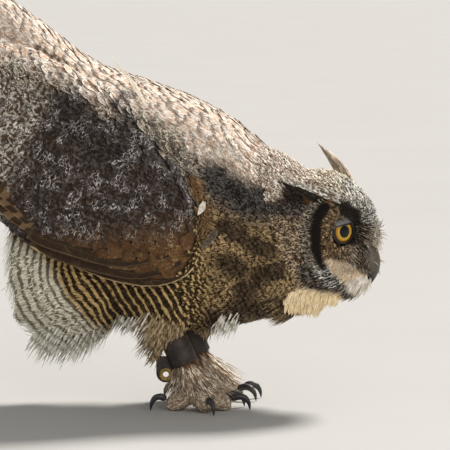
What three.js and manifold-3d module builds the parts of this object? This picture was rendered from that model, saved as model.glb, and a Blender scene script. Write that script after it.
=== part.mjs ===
// A great horned owl, life size and still, leaning forward on both feet.
// Millimetres, +Z up, +X the way the body faces, +Y the owl's left.
// The forms include the lie of the feather coat, out to the tips of its tufts.
import * as THREE from 'three';
import { mergeVertices } from 'three/addons/utils/BufferGeometryUtils.js';
import Module from 'manifold-3d';

const wasm = await Module();
wasm.setup();

// ---------- driving dimensions ----------

const GAP = 0.4;                          // clear space kept between neighbouring pieces
const WELD = 1e-4;                        // distance under which two vertices are one
const LEAST_HALF = 0.6;                   // least half thickness of any form
const CURL_ONSET = 6;                     // a curled form is curled past this part of its ends
const FAR = 900;                          // half side of the blocks that part the body

// Side outline of the trunk and neck, rump first, as [x, z].
const BACK_LINE = [[-78, 396], [-26, 428], [36, 393], [92, 350], [140, 332], [188, 316],
  [232, 293], [266, 265], [294, 248], [322, 222], [350, 160]];
const BELLY_LINE = [[-78, 396], [-50, 340], [-6, 250], [46, 152], [104, 92], [164, 73],
  [222, 75], [262, 84], [292, 88], [324, 96], [350, 160]];
const BODY_HALF_WIDTHS = [0, 34, 58, 76, 85, 86, 80, 71, 63, 52, 0];

// The head has its own frame: +X the way the face looks, origin at its middle.
const HEAD_CENTRE = new THREE.Vector3(322, -9, 175);
const HEAD_YAW = THREE.MathUtils.degToRad(-24);
const CROWN_LINE = [[-60, 4], [-54, 34], [-34, 56], [-8, 65], [18, 60], [38, 45],
  [52, 30], [61, 12], [65, 1]];
const CHIN_LINE = [[-60, 4], [-56, -24], [-38, -46], [-8, -60], [20, -68], [38, -64],
  [52, -49], [58, -28], [65, 1]];
const HEAD_HALF_WIDTHS = [0, 34, 50, 60, 60, 47, 31, 17, 0];

const EYE_RADIUS = 15;
const EYE_OUTWARD = THREE.MathUtils.degToRad(30);   // each eye looks this far to its side
const IRIS_CENTRE = [33, 27.5, 4];                  // of the left eye, in the head's frame
const IRIS_DEPTH = 9;                               // iris plane ahead of the eyeball's middle
const DISC_DISH = { centre: [50, 31, -3], half: [17, 34, 37] };
const GAPE = { centre: [57, 0, -36.5], half: [8.5, 7.5, 9] };   // open corner of the mouth

// Each tuft from root to tip, in the head's frame.
const TUFTS = {
  ear_tuft_left: [[8, 30, 44], [2, 36, 60], [-10, 41, 74], [-25, 46, 87]],
  ear_tuft_right: [[14, -38, 30], [3, -46, 42], [-11, -52, 48], [-27, -56, 52]],
};

const WING_TOP_LINE = [[-42, 330], [-8, 376], [45, 358], [100, 326], [150, 292], [186, 258],
  [200, 226], [203, 196]];
const WING_LOW_LINE = [[-42, 330], [-28, 236], [24, 172], [84, 144], [140, 132], [181, 130],
  [198, 162], [203, 196]];
const WING_HALF_THICK = [0, 13, 18, 20, 20, 17, 10, 0];
const WING_OUTWARD = [56, 68, 79, 86, 89, 88, 86, 84];

const QUILL_COUNT = 6;                    // flight feathers told apart in each folded wing
const QUILL_ROOTS = [[100, 84, 156], [116, 82, 194], [122, 70, 236]];   // lowest first
const QUILL_TIPS = [[-98, 45, 346], [-84, 41, 368], [-62, 34, 390], [-34, 24, 412]];
const QUILL_HOLD = 0.75;                  // each feather is flush with the fan this far along
const QUILL_WIDTH = 42;
const QUILL_SAG = [17, 4];                // bow of the lowest and of the highest feather
const VANE_THICK = 2.2;
const VANE_STEP = 0.8;                    // each feather lies this far over the next

const TAIL_ROOT = new THREE.Vector3(66, 0, 284);
const TAIL_TIP = new THREE.Vector3(-118, 0, 406);
const TAIL_FEATHERS = 12;
const TAIL_FEATHER_WIDTH = 36;
const TAIL_ROOT_SPREAD = 18;              // half width of the row of quills
const TAIL_TIP_SPREAD = 32;               // half width of the row of feather tips' middles

const VENT_TOP_LINE = [[6, 126], [8, 186], [46, 236], [104, 200], [154, 112]];
const VENT_LOW_LINE = [[6, 126], [20, 80], [62, 50], [110, 64], [154, 112]];
const VENT_HALF_WIDTHS = [0, 48, 66, 68, 0];

// Where each foot's middle stands, and where the thigh's coat ends, as [x, z].
const FEET = {
  right: { side: -1, x: 197, y: -40, thighEnd: [158, 56] },
  left: { side: 1, x: 209, y: 37, thighEnd: [210, 60] },
};
const HIP = [178, 150];
const SHANK_LEAN = 0.42;                  // how far the shank goes back for each mm it rises
const TOE_SPINE = [[0, 25], [0.5, 12], [1, 3.8]];   // [share of the length, height]
const TOES = {                            // angle from straight ahead, outwards positive
  hind: { angle: 174, length: 31, claw: 0.75 },
  inner: { angle: -24, length: 32, claw: 1.0 },
  middle: { angle: 3, length: 35, claw: 0.9 },
  outer: { angle: 66, length: 26, claw: 0.8 },
};
const ANKLET = { middle: 59, height: 27, inner: 12.4, leather: 1.5 };
const TAB = { back: 21, z: 41, drop: 5, halfLength: 13, halfWidth: 9.5, thick: 3.2 };   // back of the shank
const EYELET = { hole: 3.1, neck: 4.1, outer: 6.6, flange: 0.8 };

// ---------- colours ----------

function finish(color, roughness, metalness = 0) {
  return new THREE.MeshStandardMaterial({ color, roughness, metalness });
}

const PAINT = {
  head: finish(0x6f6252, 0.9),
  neck: finish(0x6a5b49, 0.9),
  trunk: finish(0x6b5543, 0.9),
  wing: finish(0x4f3c2e, 0.88),
  quills: finish(0x5c4432, 0.8),
  vent: finish(0xc9c2b6, 0.95),
  leg: finish(0xa99c8b, 0.95),
  talon: finish(0x1c1e24, 0.35),
  bill: finish(0x3a3f47, 0.4),
  eye: finish(0xe8b71c, 0.1),
  leather: finish(0x2a201a, 0.7),
  brass: finish(0xb08d4a, 0.35, 1),
};

// ---------- solids and cuts ----------

function toSolid(geometry) {
  const bare = geometry.clone();
  bare.deleteAttribute('normal');
  bare.deleteAttribute('uv');
  const welded = mergeVertices(bare, WELD);
  const corners = [];
  for (let i = 0; i < welded.index.count; i += 3) {
    const [a, b, c] = [0, 1, 2].map((k) => welded.index.getX(i + k));
    if (a !== b && b !== c && c !== a) corners.push(a, b, c);
  }
  return new wasm.Manifold(new wasm.Mesh({
    numProp: 3,
    vertProperties: new Float32Array(welded.attributes.position.array),
    triVerts: new Uint32Array(corners),
  }));
}

function toGeometry(solid) {
  const mesh = solid.getMesh();
  const geometry = new THREE.BufferGeometry();
  geometry.setAttribute('position', new THREE.BufferAttribute(mesh.vertProperties, 3));
  geometry.setIndex(new THREE.BufferAttribute(mesh.triVerts, 1));
  geometry.computeVertexNormals();
  return geometry;
}

// The same solid, swollen by the gap that its neighbours keep from it.
function swollen(solid, gap = GAP) {
  const geometry = toGeometry(solid);
  const place = geometry.attributes.position;
  const normal = geometry.attributes.normal;
  for (let i = 0; i < place.count; i += 1) {
    place.setXYZ(i, place.getX(i) + gap * normal.getX(i), place.getY(i) + gap * normal.getY(i),
      place.getZ(i) + gap * normal.getZ(i));
  }
  return toSolid(geometry);
}

function join(...solids) {
  return solids.reduce((whole, next) => whole.add(next));
}

function without(solid, ...neighbours) {
  return neighbours.reduce((left, next) => left.subtract(swollen(next)), solid);
}

// Everything on the side of a plane that its normal points to, less half the gap.
function sideOf(point, normal) {
  const block = new THREE.BoxGeometry(2 * FAR, 2 * FAR, FAR);
  block.translate(0, 0, FAR / 2 + GAP / 2);
  const up = new THREE.Vector3(0, 0, 1);
  const turn = new THREE.Quaternion().setFromUnitVectors(up, normal.clone().normalize());
  block.applyQuaternion(turn);
  block.translate(point.x, point.y, point.z);
  return toSolid(block);
}

// ---------- forms ----------

function planeCurve(points) {
  return new THREE.SplineCurve(points.map(([x, y]) => new THREE.Vector2(x, y)));
}

function along(values) {
  const curve = planeCurve(values.map((value, i) => [i, value]));
  return (t) => curve.getPoint(t).y;
}

function squared(value, fullness) {
  return Math.sign(value) * Math.abs(value) ** (2 / fullness);
}

// Keeps a form from closing up anywhere but at its two ends.
function thinnest(t) {
  return t > 0 && t < 1 ? LEAST_HALF : 0;
}

// Moves each vertex of a ball: place(t, across, up) from one end, t = 0, to the other.
function reshapeBall(rounds, rings, place) {
  const ball = new THREE.SphereGeometry(1, rounds, rings);
  const { position, uv } = ball.attributes;
  for (let i = 0; i < position.count; i += 1) {
    const t = 1 - uv.getY(i);
    const angle = -(uv.getX(i) % 1) * 2 * Math.PI;
    const spot = place(t, Math.cos(angle), Math.sin(angle));
    position.setXYZ(i, spot.x, spot.y, spot.z);
  }
  return ball;
}

// A body between a top and a low side outline, each from the same end to the other.
// curl draws its upper and lower edges in towards the midline, from a centre set outward.
function outlineForm({ top, low, half, fullness = 2.2, outward, curl = [0, 0], rounds = 26, rings = 20 }) {
  const topCurve = planeCurve(top);
  const lowCurve = planeCurve(low);
  const halfWidth = along(half);
  const centre = outward ? along(outward) : () => 0;
  return reshapeBall(rounds, rings, (t, across, up) => {
    const high = topCurve.getPoint(t);
    const deep = lowCurve.getPoint(t);
    const rise = squared(up, fullness);
    const open = Math.min(1, CURL_ONSET * t, CURL_ONSET * (1 - t));
    const inward = (rise > 0 ? curl[0] : curl[1]) * rise * rise * open;
    return new THREE.Vector3(
      (high.x + deep.x) / 2 + rise * (high.x - deep.x) / 2,
      centre(t) - inward + Math.max(halfWidth(t), thinnest(t)) * squared(across, fullness),
      (high.y + deep.y) / 2 + rise * (high.y - deep.y) / 2,
    );
  });
}

// A limb along a spine with a half width and a half depth at even stations. Its ends
// are rounded: a bluntness near 0 squares them off, and 1 makes them an egg's.
function limbForm({ spine, wide, deep, up = [0, 0, 1], blunt = 0.5, rounds = 10, rings = 8 }) {
  const curve = new THREE.CatmullRomCurve3(spine.map((p) => new THREE.Vector3(...p)));
  const halfWidth = along(wide);
  const halfDepth = along(deep);
  const above = new THREE.Vector3(...up);
  return reshapeBall(rounds, rings, (v, across, rise) => {
    const t = (1 - Math.cos(Math.PI * v)) / 2;
    const end = v > 0 && v < 1 ? Math.sin(Math.PI * v) ** blunt : 0;
    const ahead = curve.getTangent(t);
    const side = above.clone().cross(ahead).normalize();
    const over = ahead.clone().cross(side);
    return curve.getPoint(t)
      .addScaledVector(side, across * halfWidth(t) * end)
      .addScaledVector(over, rise * halfDepth(t) * end);
  });
}

// A flight feather, flat in its own X and Y: quill at the origin, tip at [length, 0].
function vaneShape(length, width, bow) {
  const steps = 3;
  const halfAt = (t) => (width / 2) * Math.min(1, 0.35 + 1.3 * t)
    * Math.sqrt(Math.max(0, 1 - Math.max(0, (t - 0.82) / 0.18) ** 2));
  const middleAt = (t) => -bow * 4 * t * (1 - t);
  const edge = [];
  for (let i = 0; i <= steps; i += 1) {
    const t = Math.sin((Math.PI / 2) * (i / steps));
    edge.push([t, length * t, middleAt(t), halfAt(t)]);
  }
  const upper = edge.map(([, x, y, half]) => new THREE.Vector2(x, y + half));
  const lower = edge.slice(0, -1).reverse().map(([, x, y, half]) => new THREE.Vector2(x, y - half));
  return new THREE.Shape([...upper, ...lower]);
}

// The feather laid from root to tip, with its face turned as nearly as it goes to face.
function vane(root, tip, face, width, bow) {
  const length = root.distanceTo(tip);
  const blade = new THREE.ExtrudeGeometry(vaneShape(length, width, bow),
    { depth: VANE_THICK, bevelEnabled: false, steps: 1 });
  const ahead = tip.clone().sub(root).normalize();
  const over = face.clone().addScaledVector(ahead, -face.dot(ahead)).normalize();
  const side = over.clone().cross(ahead);
  blade.applyMatrix4(new THREE.Matrix4().makeBasis(ahead, side, over).setPosition(root));
  return toSolid(blade);
}

// ---------- the body, whole and then parted ----------

function headMatrix() {
  return new THREE.Matrix4().makeRotationZ(HEAD_YAW).setPosition(HEAD_CENTRE);
}

function inHead(geometry) {
  return toSolid(geometry.applyMatrix4(headMatrix()));
}

function mirrored(point, side) {
  return [point[0], point[1] * side, point[2]];
}

function eyeBall(side) {
  const iris = new THREE.Vector3(...mirrored(IRIS_CENTRE, side));
  const gaze = new THREE.Vector3(Math.cos(EYE_OUTWARD), side * Math.sin(EYE_OUTWARD), 0);
  const ball = new THREE.SphereGeometry(EYE_RADIUS, 12, 7);
  ball.translate(...iris.addScaledVector(gaze, -IRIS_DEPTH).toArray());
  return inHead(ball);
}

function discDish(side) {
  const dish = new THREE.SphereGeometry(1, 12, 7);
  dish.scale(...DISC_DISH.half);
  dish.rotateZ(side * EYE_OUTWARD);
  dish.translate(...mirrored(DISC_DISH.centre, side));
  return inHead(dish);
}

function billUpper() {
  return inHead(limbForm({
    spine: [[38, 0, -22], [48, 0, -19], [55.5, 0, -26], [57, 0, -37], [52.5, 0, -49]],
    wide: [9, 8.5, 6.5, 4.2, 1.1], deep: [8, 8.5, 7.5, 5.5, 1.3], blunt: 0.4, rounds: 9, rings: 9,
  }));
}

function billLower() {
  return inHead(limbForm({
    spine: [[42, 0, -38], [49, 0, -39.5], [55.5, 0, -41]],
    wide: [8, 7, 3], deep: [4, 3.6, 2.2], blunt: 0.4, rounds: 8, rings: 5,
  }));
}

// The open corner of the mouth, between the two bills.
function gape() {
  const corner = new THREE.SphereGeometry(1, 8, 6);
  corner.scale(...GAPE.half);
  corner.translate(...GAPE.centre);
  return inHead(corner);
}

function earTuft(spine) {
  return inHead(limbForm({
    spine, wide: [12, 11, 8, 2], deep: [6, 5, 3.6, 1.2], up: [1, 0, 1], blunt: 0.35, rounds: 8,
  }));
}

const eyes = { left: eyeBall(1), right: eyeBall(-1) };
const billTop = billUpper();
const billLow = without(billLower(), billTop);

const headForm = inHead(outlineForm({
  top: CROWN_LINE, low: CHIN_LINE, half: HEAD_HALF_WIDTHS, fullness: 2.1, rounds: 18, rings: 13,
}));
const face = headForm.subtract(discDish(1)).subtract(discDish(-1)).subtract(gape());
const bodyForm = toSolid(outlineForm({
  top: BACK_LINE, low: BELLY_LINE, half: BODY_HALF_WIDTHS, rounds: 22, rings: 18,
}));

// The planes that part the flesh, each through a point and with a normal that looks ahead.
const NAPE_CUT = [new THREE.Vector3(300, 0, 175), new THREE.Vector3(1, -0.3, 0.3)];
const SHOULDER_CUT = [new THREE.Vector3(256, 0, 170), new THREE.Vector3(1, 0, 0.16)];
const LOIN_CUT = [new THREE.Vector3(126, 0, 215), new THREE.Vector3(1, 0, -0.3)];

function ahead(whole, [point, normal]) {
  return whole.intersect(sideOf(point, normal));
}

function behind(whole, [point, normal]) {
  return whole.intersect(sideOf(point, normal.clone().negate()));
}

const whole = without(join(bodyForm, face), eyes.left, eyes.right, billTop, billLow);
const trunk = behind(whole, SHOULDER_CUT);
const flesh = {
  head: ahead(whole, NAPE_CUT),
  neck: ahead(behind(whole, NAPE_CUT), SHOULDER_CUT),
  breast: ahead(trunk, LOIN_CUT),
  rump: behind(trunk, LOIN_CUT),
};

// ---------- wings, tail and vent ----------

function wingArm(side) {
  const form = outlineForm({
    top: WING_TOP_LINE, low: WING_LOW_LINE, half: WING_HALF_THICK, outward: WING_OUTWARD,
    curl: [34, 12], rounds: 14, rings: 11,
  });
  if (side < 0) form.scale(1, -1, 1);
  return side < 0 ? flipped(form) : toSolid(form);
}

// A mirrored geometry, with its faces turned to point out again.
function flipped(geometry) {
  const corners = geometry.index.array;
  for (let i = 0; i < corners.length; i += 3) {
    [corners[i], corners[i + 1]] = [corners[i + 1], corners[i]];
  }
  return toSolid(geometry);
}

function spaceCurve(points, side) {
  return new THREE.CatmullRomCurve3(points.map((p) => new THREE.Vector3(...mirrored(p, side))));
}

function quills(side) {
  const roots = spaceCurve(QUILL_ROOTS, side);
  const tips = spaceCurve(QUILL_TIPS, side);
  const fanPoint = (t) => roots.getPoint(t).lerp(tips.getPoint(t), QUILL_HOLD);
  const blades = [];
  for (let i = 0; i < QUILL_COUNT; i += 1) {
    const t = i / (QUILL_COUNT - 1);
    const root = roots.getPoint(t);
    const tip = tips.getPoint(t);
    const across = fanPoint(Math.min(1, t + 0.05)).sub(fanPoint(Math.max(0, t - 0.05)));
    const face = across.cross(tip.clone().sub(root)).normalize();
    if (face.y * side < 0) face.negate();
    const lift = face.clone().multiplyScalar(VANE_STEP * i);
    const bow = -side * THREE.MathUtils.lerp(QUILL_SAG[0], QUILL_SAG[1], t);
    blades.push(vane(root.add(lift), tip.add(lift), face, QUILL_WIDTH, bow));
  }
  return join(...blades);
}

function tail() {
  const ahead = TAIL_TIP.clone().sub(TAIL_ROOT).normalize();
  const face = new THREE.Vector3(0, 1, 0).cross(ahead).negate();
  if (face.z < 0) face.negate();
  const blades = [];
  for (let i = 0; i < TAIL_FEATHERS; i += 1) {
    const across = 2 * i / (TAIL_FEATHERS - 1) - 1;
    const drop = face.clone().multiplyScalar(-VANE_STEP * Math.abs(i - (TAIL_FEATHERS - 1) / 2));
    const root = TAIL_ROOT.clone().add(new THREE.Vector3(0, across * TAIL_ROOT_SPREAD, 0)).add(drop);
    const tip = TAIL_TIP.clone().add(new THREE.Vector3(0, across * TAIL_TIP_SPREAD, 0)).add(drop);
    tip.addScaledVector(ahead, -8 * across * across);
    blades.push(vane(root, tip, face, TAIL_FEATHER_WIDTH, 0));
  }
  return join(...blades);
}

const arms = { left: wingArm(1), right: wingArm(-1) };
const ventForm = toSolid(outlineForm({
  top: VENT_TOP_LINE, low: VENT_LOW_LINE, half: VENT_HALF_WIDTHS, rounds: 14, rings: 9,
}));
const tailFan = without(tail(), bodyForm);
const vent = without(ventForm, bodyForm, arms.left, arms.right);
const wings = {};
const flight = {};
for (const [name, { side }] of Object.entries(FEET)) {
  wings[name] = without(arms[name], bodyForm);
  flight[name] = without(quills(side), bodyForm, arms[name], tailFan);
}

// ---------- legs, feet and what they wear ----------

function toePoint(foot, angle, reach, z) {
  const turn = THREE.MathUtils.degToRad(angle);
  return [foot.x + reach * Math.cos(turn), foot.y + foot.side * reach * Math.sin(turn), z];
}

function toe(foot, { angle, length }) {
  return toSolid(limbForm({
    spine: TOE_SPINE.map(([share, z]) => toePoint(foot, angle, share * length, z)),
    wide: [13, 11, 9.5], deep: [14, 12, 10], blunt: 0.45, rounds: 8, rings: 5,
  }));
}

function talon(foot, { angle, length, claw }) {
  const reach = (distance) => length + distance * claw;
  return toSolid(limbForm({
    spine: [toePoint(foot, angle, reach(-2), 11), toePoint(foot, angle, reach(10), 15),
      toePoint(foot, angle, reach(18), 10), toePoint(foot, angle, reach(20), -0.4)],
    wide: [4.2, 3.8, 2.8, 0.7], deep: [5, 4.4, 3.2, 0.7], blunt: 0.35, rounds: 6, rings: 6,
  }));
}

// Points up the shank, which leans back as it rises.
function legSpine(foot, heights) {
  return heights.map((z) => [foot.x - SHANK_LEAN * (z - 18), foot.y, z]);
}

function thigh(foot) {
  const [endX, endZ] = foot.thighEnd;
  const [hipX, hipZ] = HIP;
  return toSolid(limbForm({
    spine: [[hipX, foot.y, hipZ], [(hipX + endX) / 2, foot.y, 0.45 * hipZ + 0.55 * endZ],
      [endX, foot.y, endZ]],
    wide: [34, 27, 13], deep: [46, 32, 12], up: [1, 0, 0], blunt: 0.45, rounds: 10, rings: 5,
  }));
}

function tarsus(foot) {
  return toSolid(limbForm({
    spine: legSpine(foot, [98, 72, 50, 27]), wide: [10, 10.5, 11, 11], deep: [10.5, 11, 11.5, 11],
    up: [1, 0, 0], blunt: 0.3, rounds: 12, rings: 7,
  }));
}

function floorBlock() {
  const block = new THREE.BoxGeometry(FAR, FAR, FAR);
  block.translate(0, 0, -FAR / 2);
  return toSolid(block);
}

// A round block about the shank where the strap goes.
function cuff(foot, radius, height) {
  const block = new THREE.CylinderGeometry(radius, radius, height, 14);
  const [low, high] = legSpine(foot, [0, ANKLET.height]).map((p) => new THREE.Vector3(...p));
  const turn = new THREE.Quaternion().setFromUnitVectors(new THREE.Vector3(0, 1, 0),
    high.sub(low).normalize());
  block.applyQuaternion(turn);
  block.translate(...legSpine(foot, [ANKLET.middle])[0]);
  return toSolid(block);
}

function tabCentre(foot) {
  const [x, y, z] = legSpine(foot, [TAB.z])[0];
  return [x - TAB.back, y, z];
}

// The two ends of the strap, laid together behind the leg and pierced for the eyelet.
function ankletTab(foot) {
  const { halfLength, halfWidth, thick } = TAB;
  const outline = new THREE.Shape();
  outline.moveTo(-halfWidth, halfLength);
  outline.lineTo(-halfWidth, -halfLength + halfWidth);
  outline.absarc(0, -halfLength + halfWidth, halfWidth, Math.PI, 2 * Math.PI);
  outline.lineTo(halfWidth + 4, halfLength);
  const tab = new THREE.ExtrudeGeometry(outline, { depth: thick, bevelEnabled: false, curveSegments: 8 });
  tab.translate(0, 0, -thick / 2);
  tab.rotateX(Math.PI / 2);
  tab.translate(...tabCentre(foot));
  return toSolid(tab);
}

function latheAcross(foot, profile, segments) {
  const ring = new THREE.LatheGeometry(profile.map(([r, z]) => new THREE.Vector2(r, z)), segments);
  const [x, y, z] = tabCentre(foot);
  ring.translate(x, y, z - TAB.drop);
  return toSolid(ring);
}

function eyelet(foot) {
  const { hole, neck, outer, flange } = EYELET;
  const waist = (TAB.thick + GAP) / 2;
  const reach = waist + flange;
  return latheAcross(foot, [[hole, -reach], [outer, -reach], [outer, -waist], [neck, -waist],
    [neck, waist], [outer, waist], [outer, reach], [hole, reach], [hole, -reach]], 10);
}

function eyeletHole(foot) {
  const reach = TAB.thick;
  const hole = EYELET.neck + GAP;
  return latheAcross(foot, [[0, -reach], [hole, -reach], [hole, reach], [0, reach]], 10);
}

const ground = floorBlock();
const legs = {};
for (const [name, foot] of Object.entries(FEET)) {
  const talons = {};
  for (const [toeName, size] of Object.entries(TOES)) {
    talons[toeName] = talon(foot, size).subtract(ground);
  }
  const pads = join(...Object.values(TOES).map((size) => toe(foot, size)));
  const footSolid = without(pads.subtract(ground), ...Object.values(talons));
  const shankForm = tarsus(foot);
  const wrap = cuff(foot, ANKLET.inner + ANKLET.leather, ANKLET.height);
  const bore = cuff(foot, ANKLET.inner, ANKLET.height + 2);
  const shank = without(shankForm, bodyForm, footSolid);
  const strap = join(wrap, ankletTab(foot)).subtract(bore).subtract(eyeletHole(foot));
  legs[name] = {
    talons,
    foot: footSolid,
    thigh: without(thigh(foot), bodyForm, ventForm, shankForm, wrap, strap),
    tarsus: shank,
    anklet: without(strap, shank),
    eyelet: eyelet(foot),
  };
}

// ---------- the owl ----------

const owl = new THREE.Group();

function add(name, solid, material) {
  const mesh = new THREE.Mesh(toGeometry(solid), material);
  mesh.name = name;
  owl.add(mesh);
}

add('head', flesh.head, PAINT.head);
add('neck', flesh.neck, PAINT.neck);
add('breast', flesh.breast, PAINT.trunk);
add('rump', flesh.rump, PAINT.trunk);
add('vent', vent, PAINT.vent);
add('tail', tailFan, PAINT.quills);
add('bill_upper', billTop, PAINT.bill);
add('bill_lower', billLow, PAINT.bill);
for (const [name, spine] of Object.entries(TUFTS)) {
  add(name, without(earTuft(spine), flesh.head, flesh.neck), PAINT.head);
}
for (const name of Object.keys(FEET)) {
  add(`eye_${name}`, eyes[name], PAINT.eye);
  add(`wing_${name}`, wings[name], PAINT.wing);
  add(`flight_feathers_${name}`, flight[name], PAINT.quills);
  add(`thigh_${name}`, legs[name].thigh, PAINT.leg);
  add(`tarsus_${name}`, legs[name].tarsus, PAINT.leg);
  add(`foot_${name}`, legs[name].foot, PAINT.leg);
  add(`anklet_${name}`, legs[name].anklet, PAINT.leather);
  add(`eyelet_${name}`, legs[name].eyelet, PAINT.brass);
  for (const [toeName, solid] of Object.entries(legs[name].talons)) {
    add(`talon_${toeName}_${name}`, solid, PAINT.talon);
  }
}

// The origin is at the middle of the owl's box, on the floor.
const box = new THREE.Box3().setFromObject(owl);
owl.position.set(-(box.min.x + box.max.x) / 2, -(box.min.y + box.max.y) / 2, -box.min.z);

export default owl;
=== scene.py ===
"""Great horned owl, still and life-size: one skin and its coat of modelled feathers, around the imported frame.

The plan used below is in millimetres: x runs from the tail to the bill, y from the owl's right to its left,
z up from the floor. PLAN_ORIGIN is where the frame's own origin lies in that plan.
"""

import math

import bpy
import numpy as np
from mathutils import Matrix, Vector
from mathutils.bvhtree import BVHTree
from mathutils.kdtree import KDTree


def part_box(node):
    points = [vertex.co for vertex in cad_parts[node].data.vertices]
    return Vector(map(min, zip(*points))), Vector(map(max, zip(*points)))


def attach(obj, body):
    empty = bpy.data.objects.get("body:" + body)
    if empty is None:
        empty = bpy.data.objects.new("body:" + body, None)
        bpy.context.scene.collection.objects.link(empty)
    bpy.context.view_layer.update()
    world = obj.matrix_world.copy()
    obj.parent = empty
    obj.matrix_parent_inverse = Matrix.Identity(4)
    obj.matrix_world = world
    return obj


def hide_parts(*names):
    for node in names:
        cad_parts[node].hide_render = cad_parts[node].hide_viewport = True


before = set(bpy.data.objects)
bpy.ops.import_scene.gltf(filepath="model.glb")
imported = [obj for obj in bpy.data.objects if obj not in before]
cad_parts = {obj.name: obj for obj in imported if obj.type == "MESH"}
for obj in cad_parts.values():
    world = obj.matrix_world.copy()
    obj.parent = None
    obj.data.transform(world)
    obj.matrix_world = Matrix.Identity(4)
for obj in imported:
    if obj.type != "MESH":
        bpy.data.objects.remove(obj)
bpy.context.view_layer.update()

MM = 0.001
PLAN_ORIGIN = np.array([131.730, 0.0, 0.0])
RNG = np.random.default_rng(11)
MOST_TRIANGLES = 190_000
PATCH = 0.003

# The side view: where it aims in the plan, how far off it is, and how far it looks down.
AIM = np.array([225.0, 0.0, 180.8])
VIEW_DISTANCE = 3000.0
VIEW_FALL = math.radians(5.5)
VIEW_ALONG = np.array([0, math.cos(VIEW_FALL), -math.sin(VIEW_FALL)])
VIEW_UP = np.array([0, math.sin(VIEW_FALL), math.cos(VIEW_FALL)])
VIEW_MIDDLE = 225.0

SIDES = {"right": -1, "left": 1}
TRUNK = ["head", "neck", "breast", "rump", "vent"]
LIMBS = ["thigh", "tarsus", "foot", "wing"]
FLESH = TRUNK + [f"{limb}_{side}" for limb in LIMBS for side in SIDES]


# ---- small maths

def unit(v):
    return v / np.maximum(np.linalg.norm(v, axis=-1, keepdims=True), 1e-9)


def dot(a, b):
    return (a * b).sum(-1, keepdims=True)


def ease(low, high, x):
    t = np.clip((x - low) / (high - low), 0, 1)
    return t * t * (3 - 2 * t)


def fade(low, high, x):
    return 1 - ease(low, high, x)


def band(low, high, soft, x):
    """1 between low and high, falling to 0 over soft outside them."""
    return ease(low - soft, low, x) * fade(high, high + soft, x)


def through(points, x):
    """The broken line through points, which run in rising x, read at x."""
    xs, ys = zip(*points)
    return np.interp(x, xs, ys)


def curve(points, t):
    """A smooth curve through a few 3-D points, read at t from 0 to 1 (Catmull-Rom)."""
    p = np.asarray(points, float)
    p = np.vstack([2 * p[0] - p[1], p, 2 * p[-1] - p[-2]])
    spans = len(p) - 3
    at = np.clip(np.asarray(t, float) * spans, 0, spans - 1e-9)
    k = at.astype(int)
    f = (at - k)[..., None]
    a, b, c, d = p[k], p[k + 1], p[k + 2], p[k + 3]
    bend = (2 * a - 5 * b + 4 * c - d) * f**2
    return 0.5 * (2 * b + (c - a) * f + bend + (3 * b - a - 3 * c + d) * f**3)


def to_frame(plan):
    return (np.asarray(plan, float) - PLAN_ORIGIN) * MM


def to_plan(metres):
    return np.asarray(metres, float) / MM + PLAN_ORIGIN


# ---- the head's own axes

HEAD_CENTRE = np.array([322.0, -9.0, 175.0])
HEAD_TURN = math.radians(24)
HEAD_AXES = np.array([
    [math.cos(HEAD_TURN), -math.sin(HEAD_TURN), 0],
    [math.sin(HEAD_TURN), math.cos(HEAD_TURN), 0],
    [0, 0, 1],
])
EYE_OUTWARD = math.radians(30)
IRIS = (33.0, 27.5, 4.0)
IRIS_RADIUS = 10.6
PUPIL_RADIUS = 6.0
IRIS_BULGE = 2.0


def head_local(plan):
    return (plan - HEAD_CENTRE) @ HEAD_AXES.T


def head_plan(local):
    return np.asarray(local, float) @ HEAD_AXES + HEAD_CENTRE


def eye_ball(side):
    """Centre and radius of the eye, from its CAD ball, and the way it looks."""
    low, high = (to_plan(c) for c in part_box(f"eye_{side}"))
    look = np.array([math.cos(EYE_OUTWARD), SIDES[side] * math.sin(EYE_OUTWARD), 0]) @ HEAD_AXES
    return (low + high) / 2, (high - low).max() / 2, look


# ---- meshes

def tuned(thing, **settings):
    for key, value in settings.items():
        setattr(thing, key, value)
    return thing


def linked(name, data):
    ob = bpy.data.objects.new(name, data)
    bpy.context.scene.collection.objects.link(ob)
    return ob


def read_all(data, key, width, kind=np.float32):
    """One property of all items of a mesh, as rows of width numbers."""
    out = np.empty(len(data) * width, kind)
    data.foreach_get(key, out)
    return out.reshape(-1, width)


def write_all(data, key, values, kind=np.float32):
    data.foreach_set(key, np.asarray(values, kind).ravel())


def mesh_arrays(me):
    me.calc_loop_triangles()
    return to_plan(read_all(me.vertices, "co", 3)), read_all(me.loop_triangles, "vertices", 3, np.int32)


def mesh_object(name, plan, corners, sizes):
    """A mesh object from plan points, and faces given as one run of corners and their sizes."""
    me = bpy.data.meshes.new(name)
    me.vertices.add(len(plan))
    write_all(me.vertices, "co", to_frame(plan))
    me.loops.add(len(corners))
    write_all(me.loops, "vertex_index", corners, np.int32)
    me.polygons.add(len(sizes))
    write_all(me.polygons, "loop_start", np.cumsum(sizes) - sizes, np.int32)
    write_all(me.polygons, "loop_total", sizes, np.int32)
    write_all(me.polygons, "use_smooth", np.ones(len(sizes)), bool)
    me.update(calc_edges=True)
    return linked(name, me)


def attribute(me, name, values):
    """Keeps rows of four numbers as a colour, and rows of three as a vector."""
    kind, key = {4: ("FLOAT_COLOR", "color"), 3: ("FLOAT_VECTOR", "vector")}[values.shape[1]]
    write_all(me.attributes.new(name, kind, "POINT").data, key, values)


def applied(ob, name):
    """A new object that holds ob's mesh with its modifiers applied. ob goes."""
    me = bpy.data.meshes.new_from_object(ob.evaluated_get(bpy.context.evaluated_depsgraph_get()))
    made = linked(name, me)
    bpy.data.objects.remove(ob)
    return made


def placed(ob, slot, material, *nodes):
    """Gives a finished piece its material, hangs it from the root and hides the CAD nodes it stands for. slot is
    not used.
    """
    ob.data.materials.clear()
    ob.data.materials.append(material)
    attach(ob, "root")
    if nodes:
        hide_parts(*nodes)
    return ob


# ---- the skin

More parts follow.
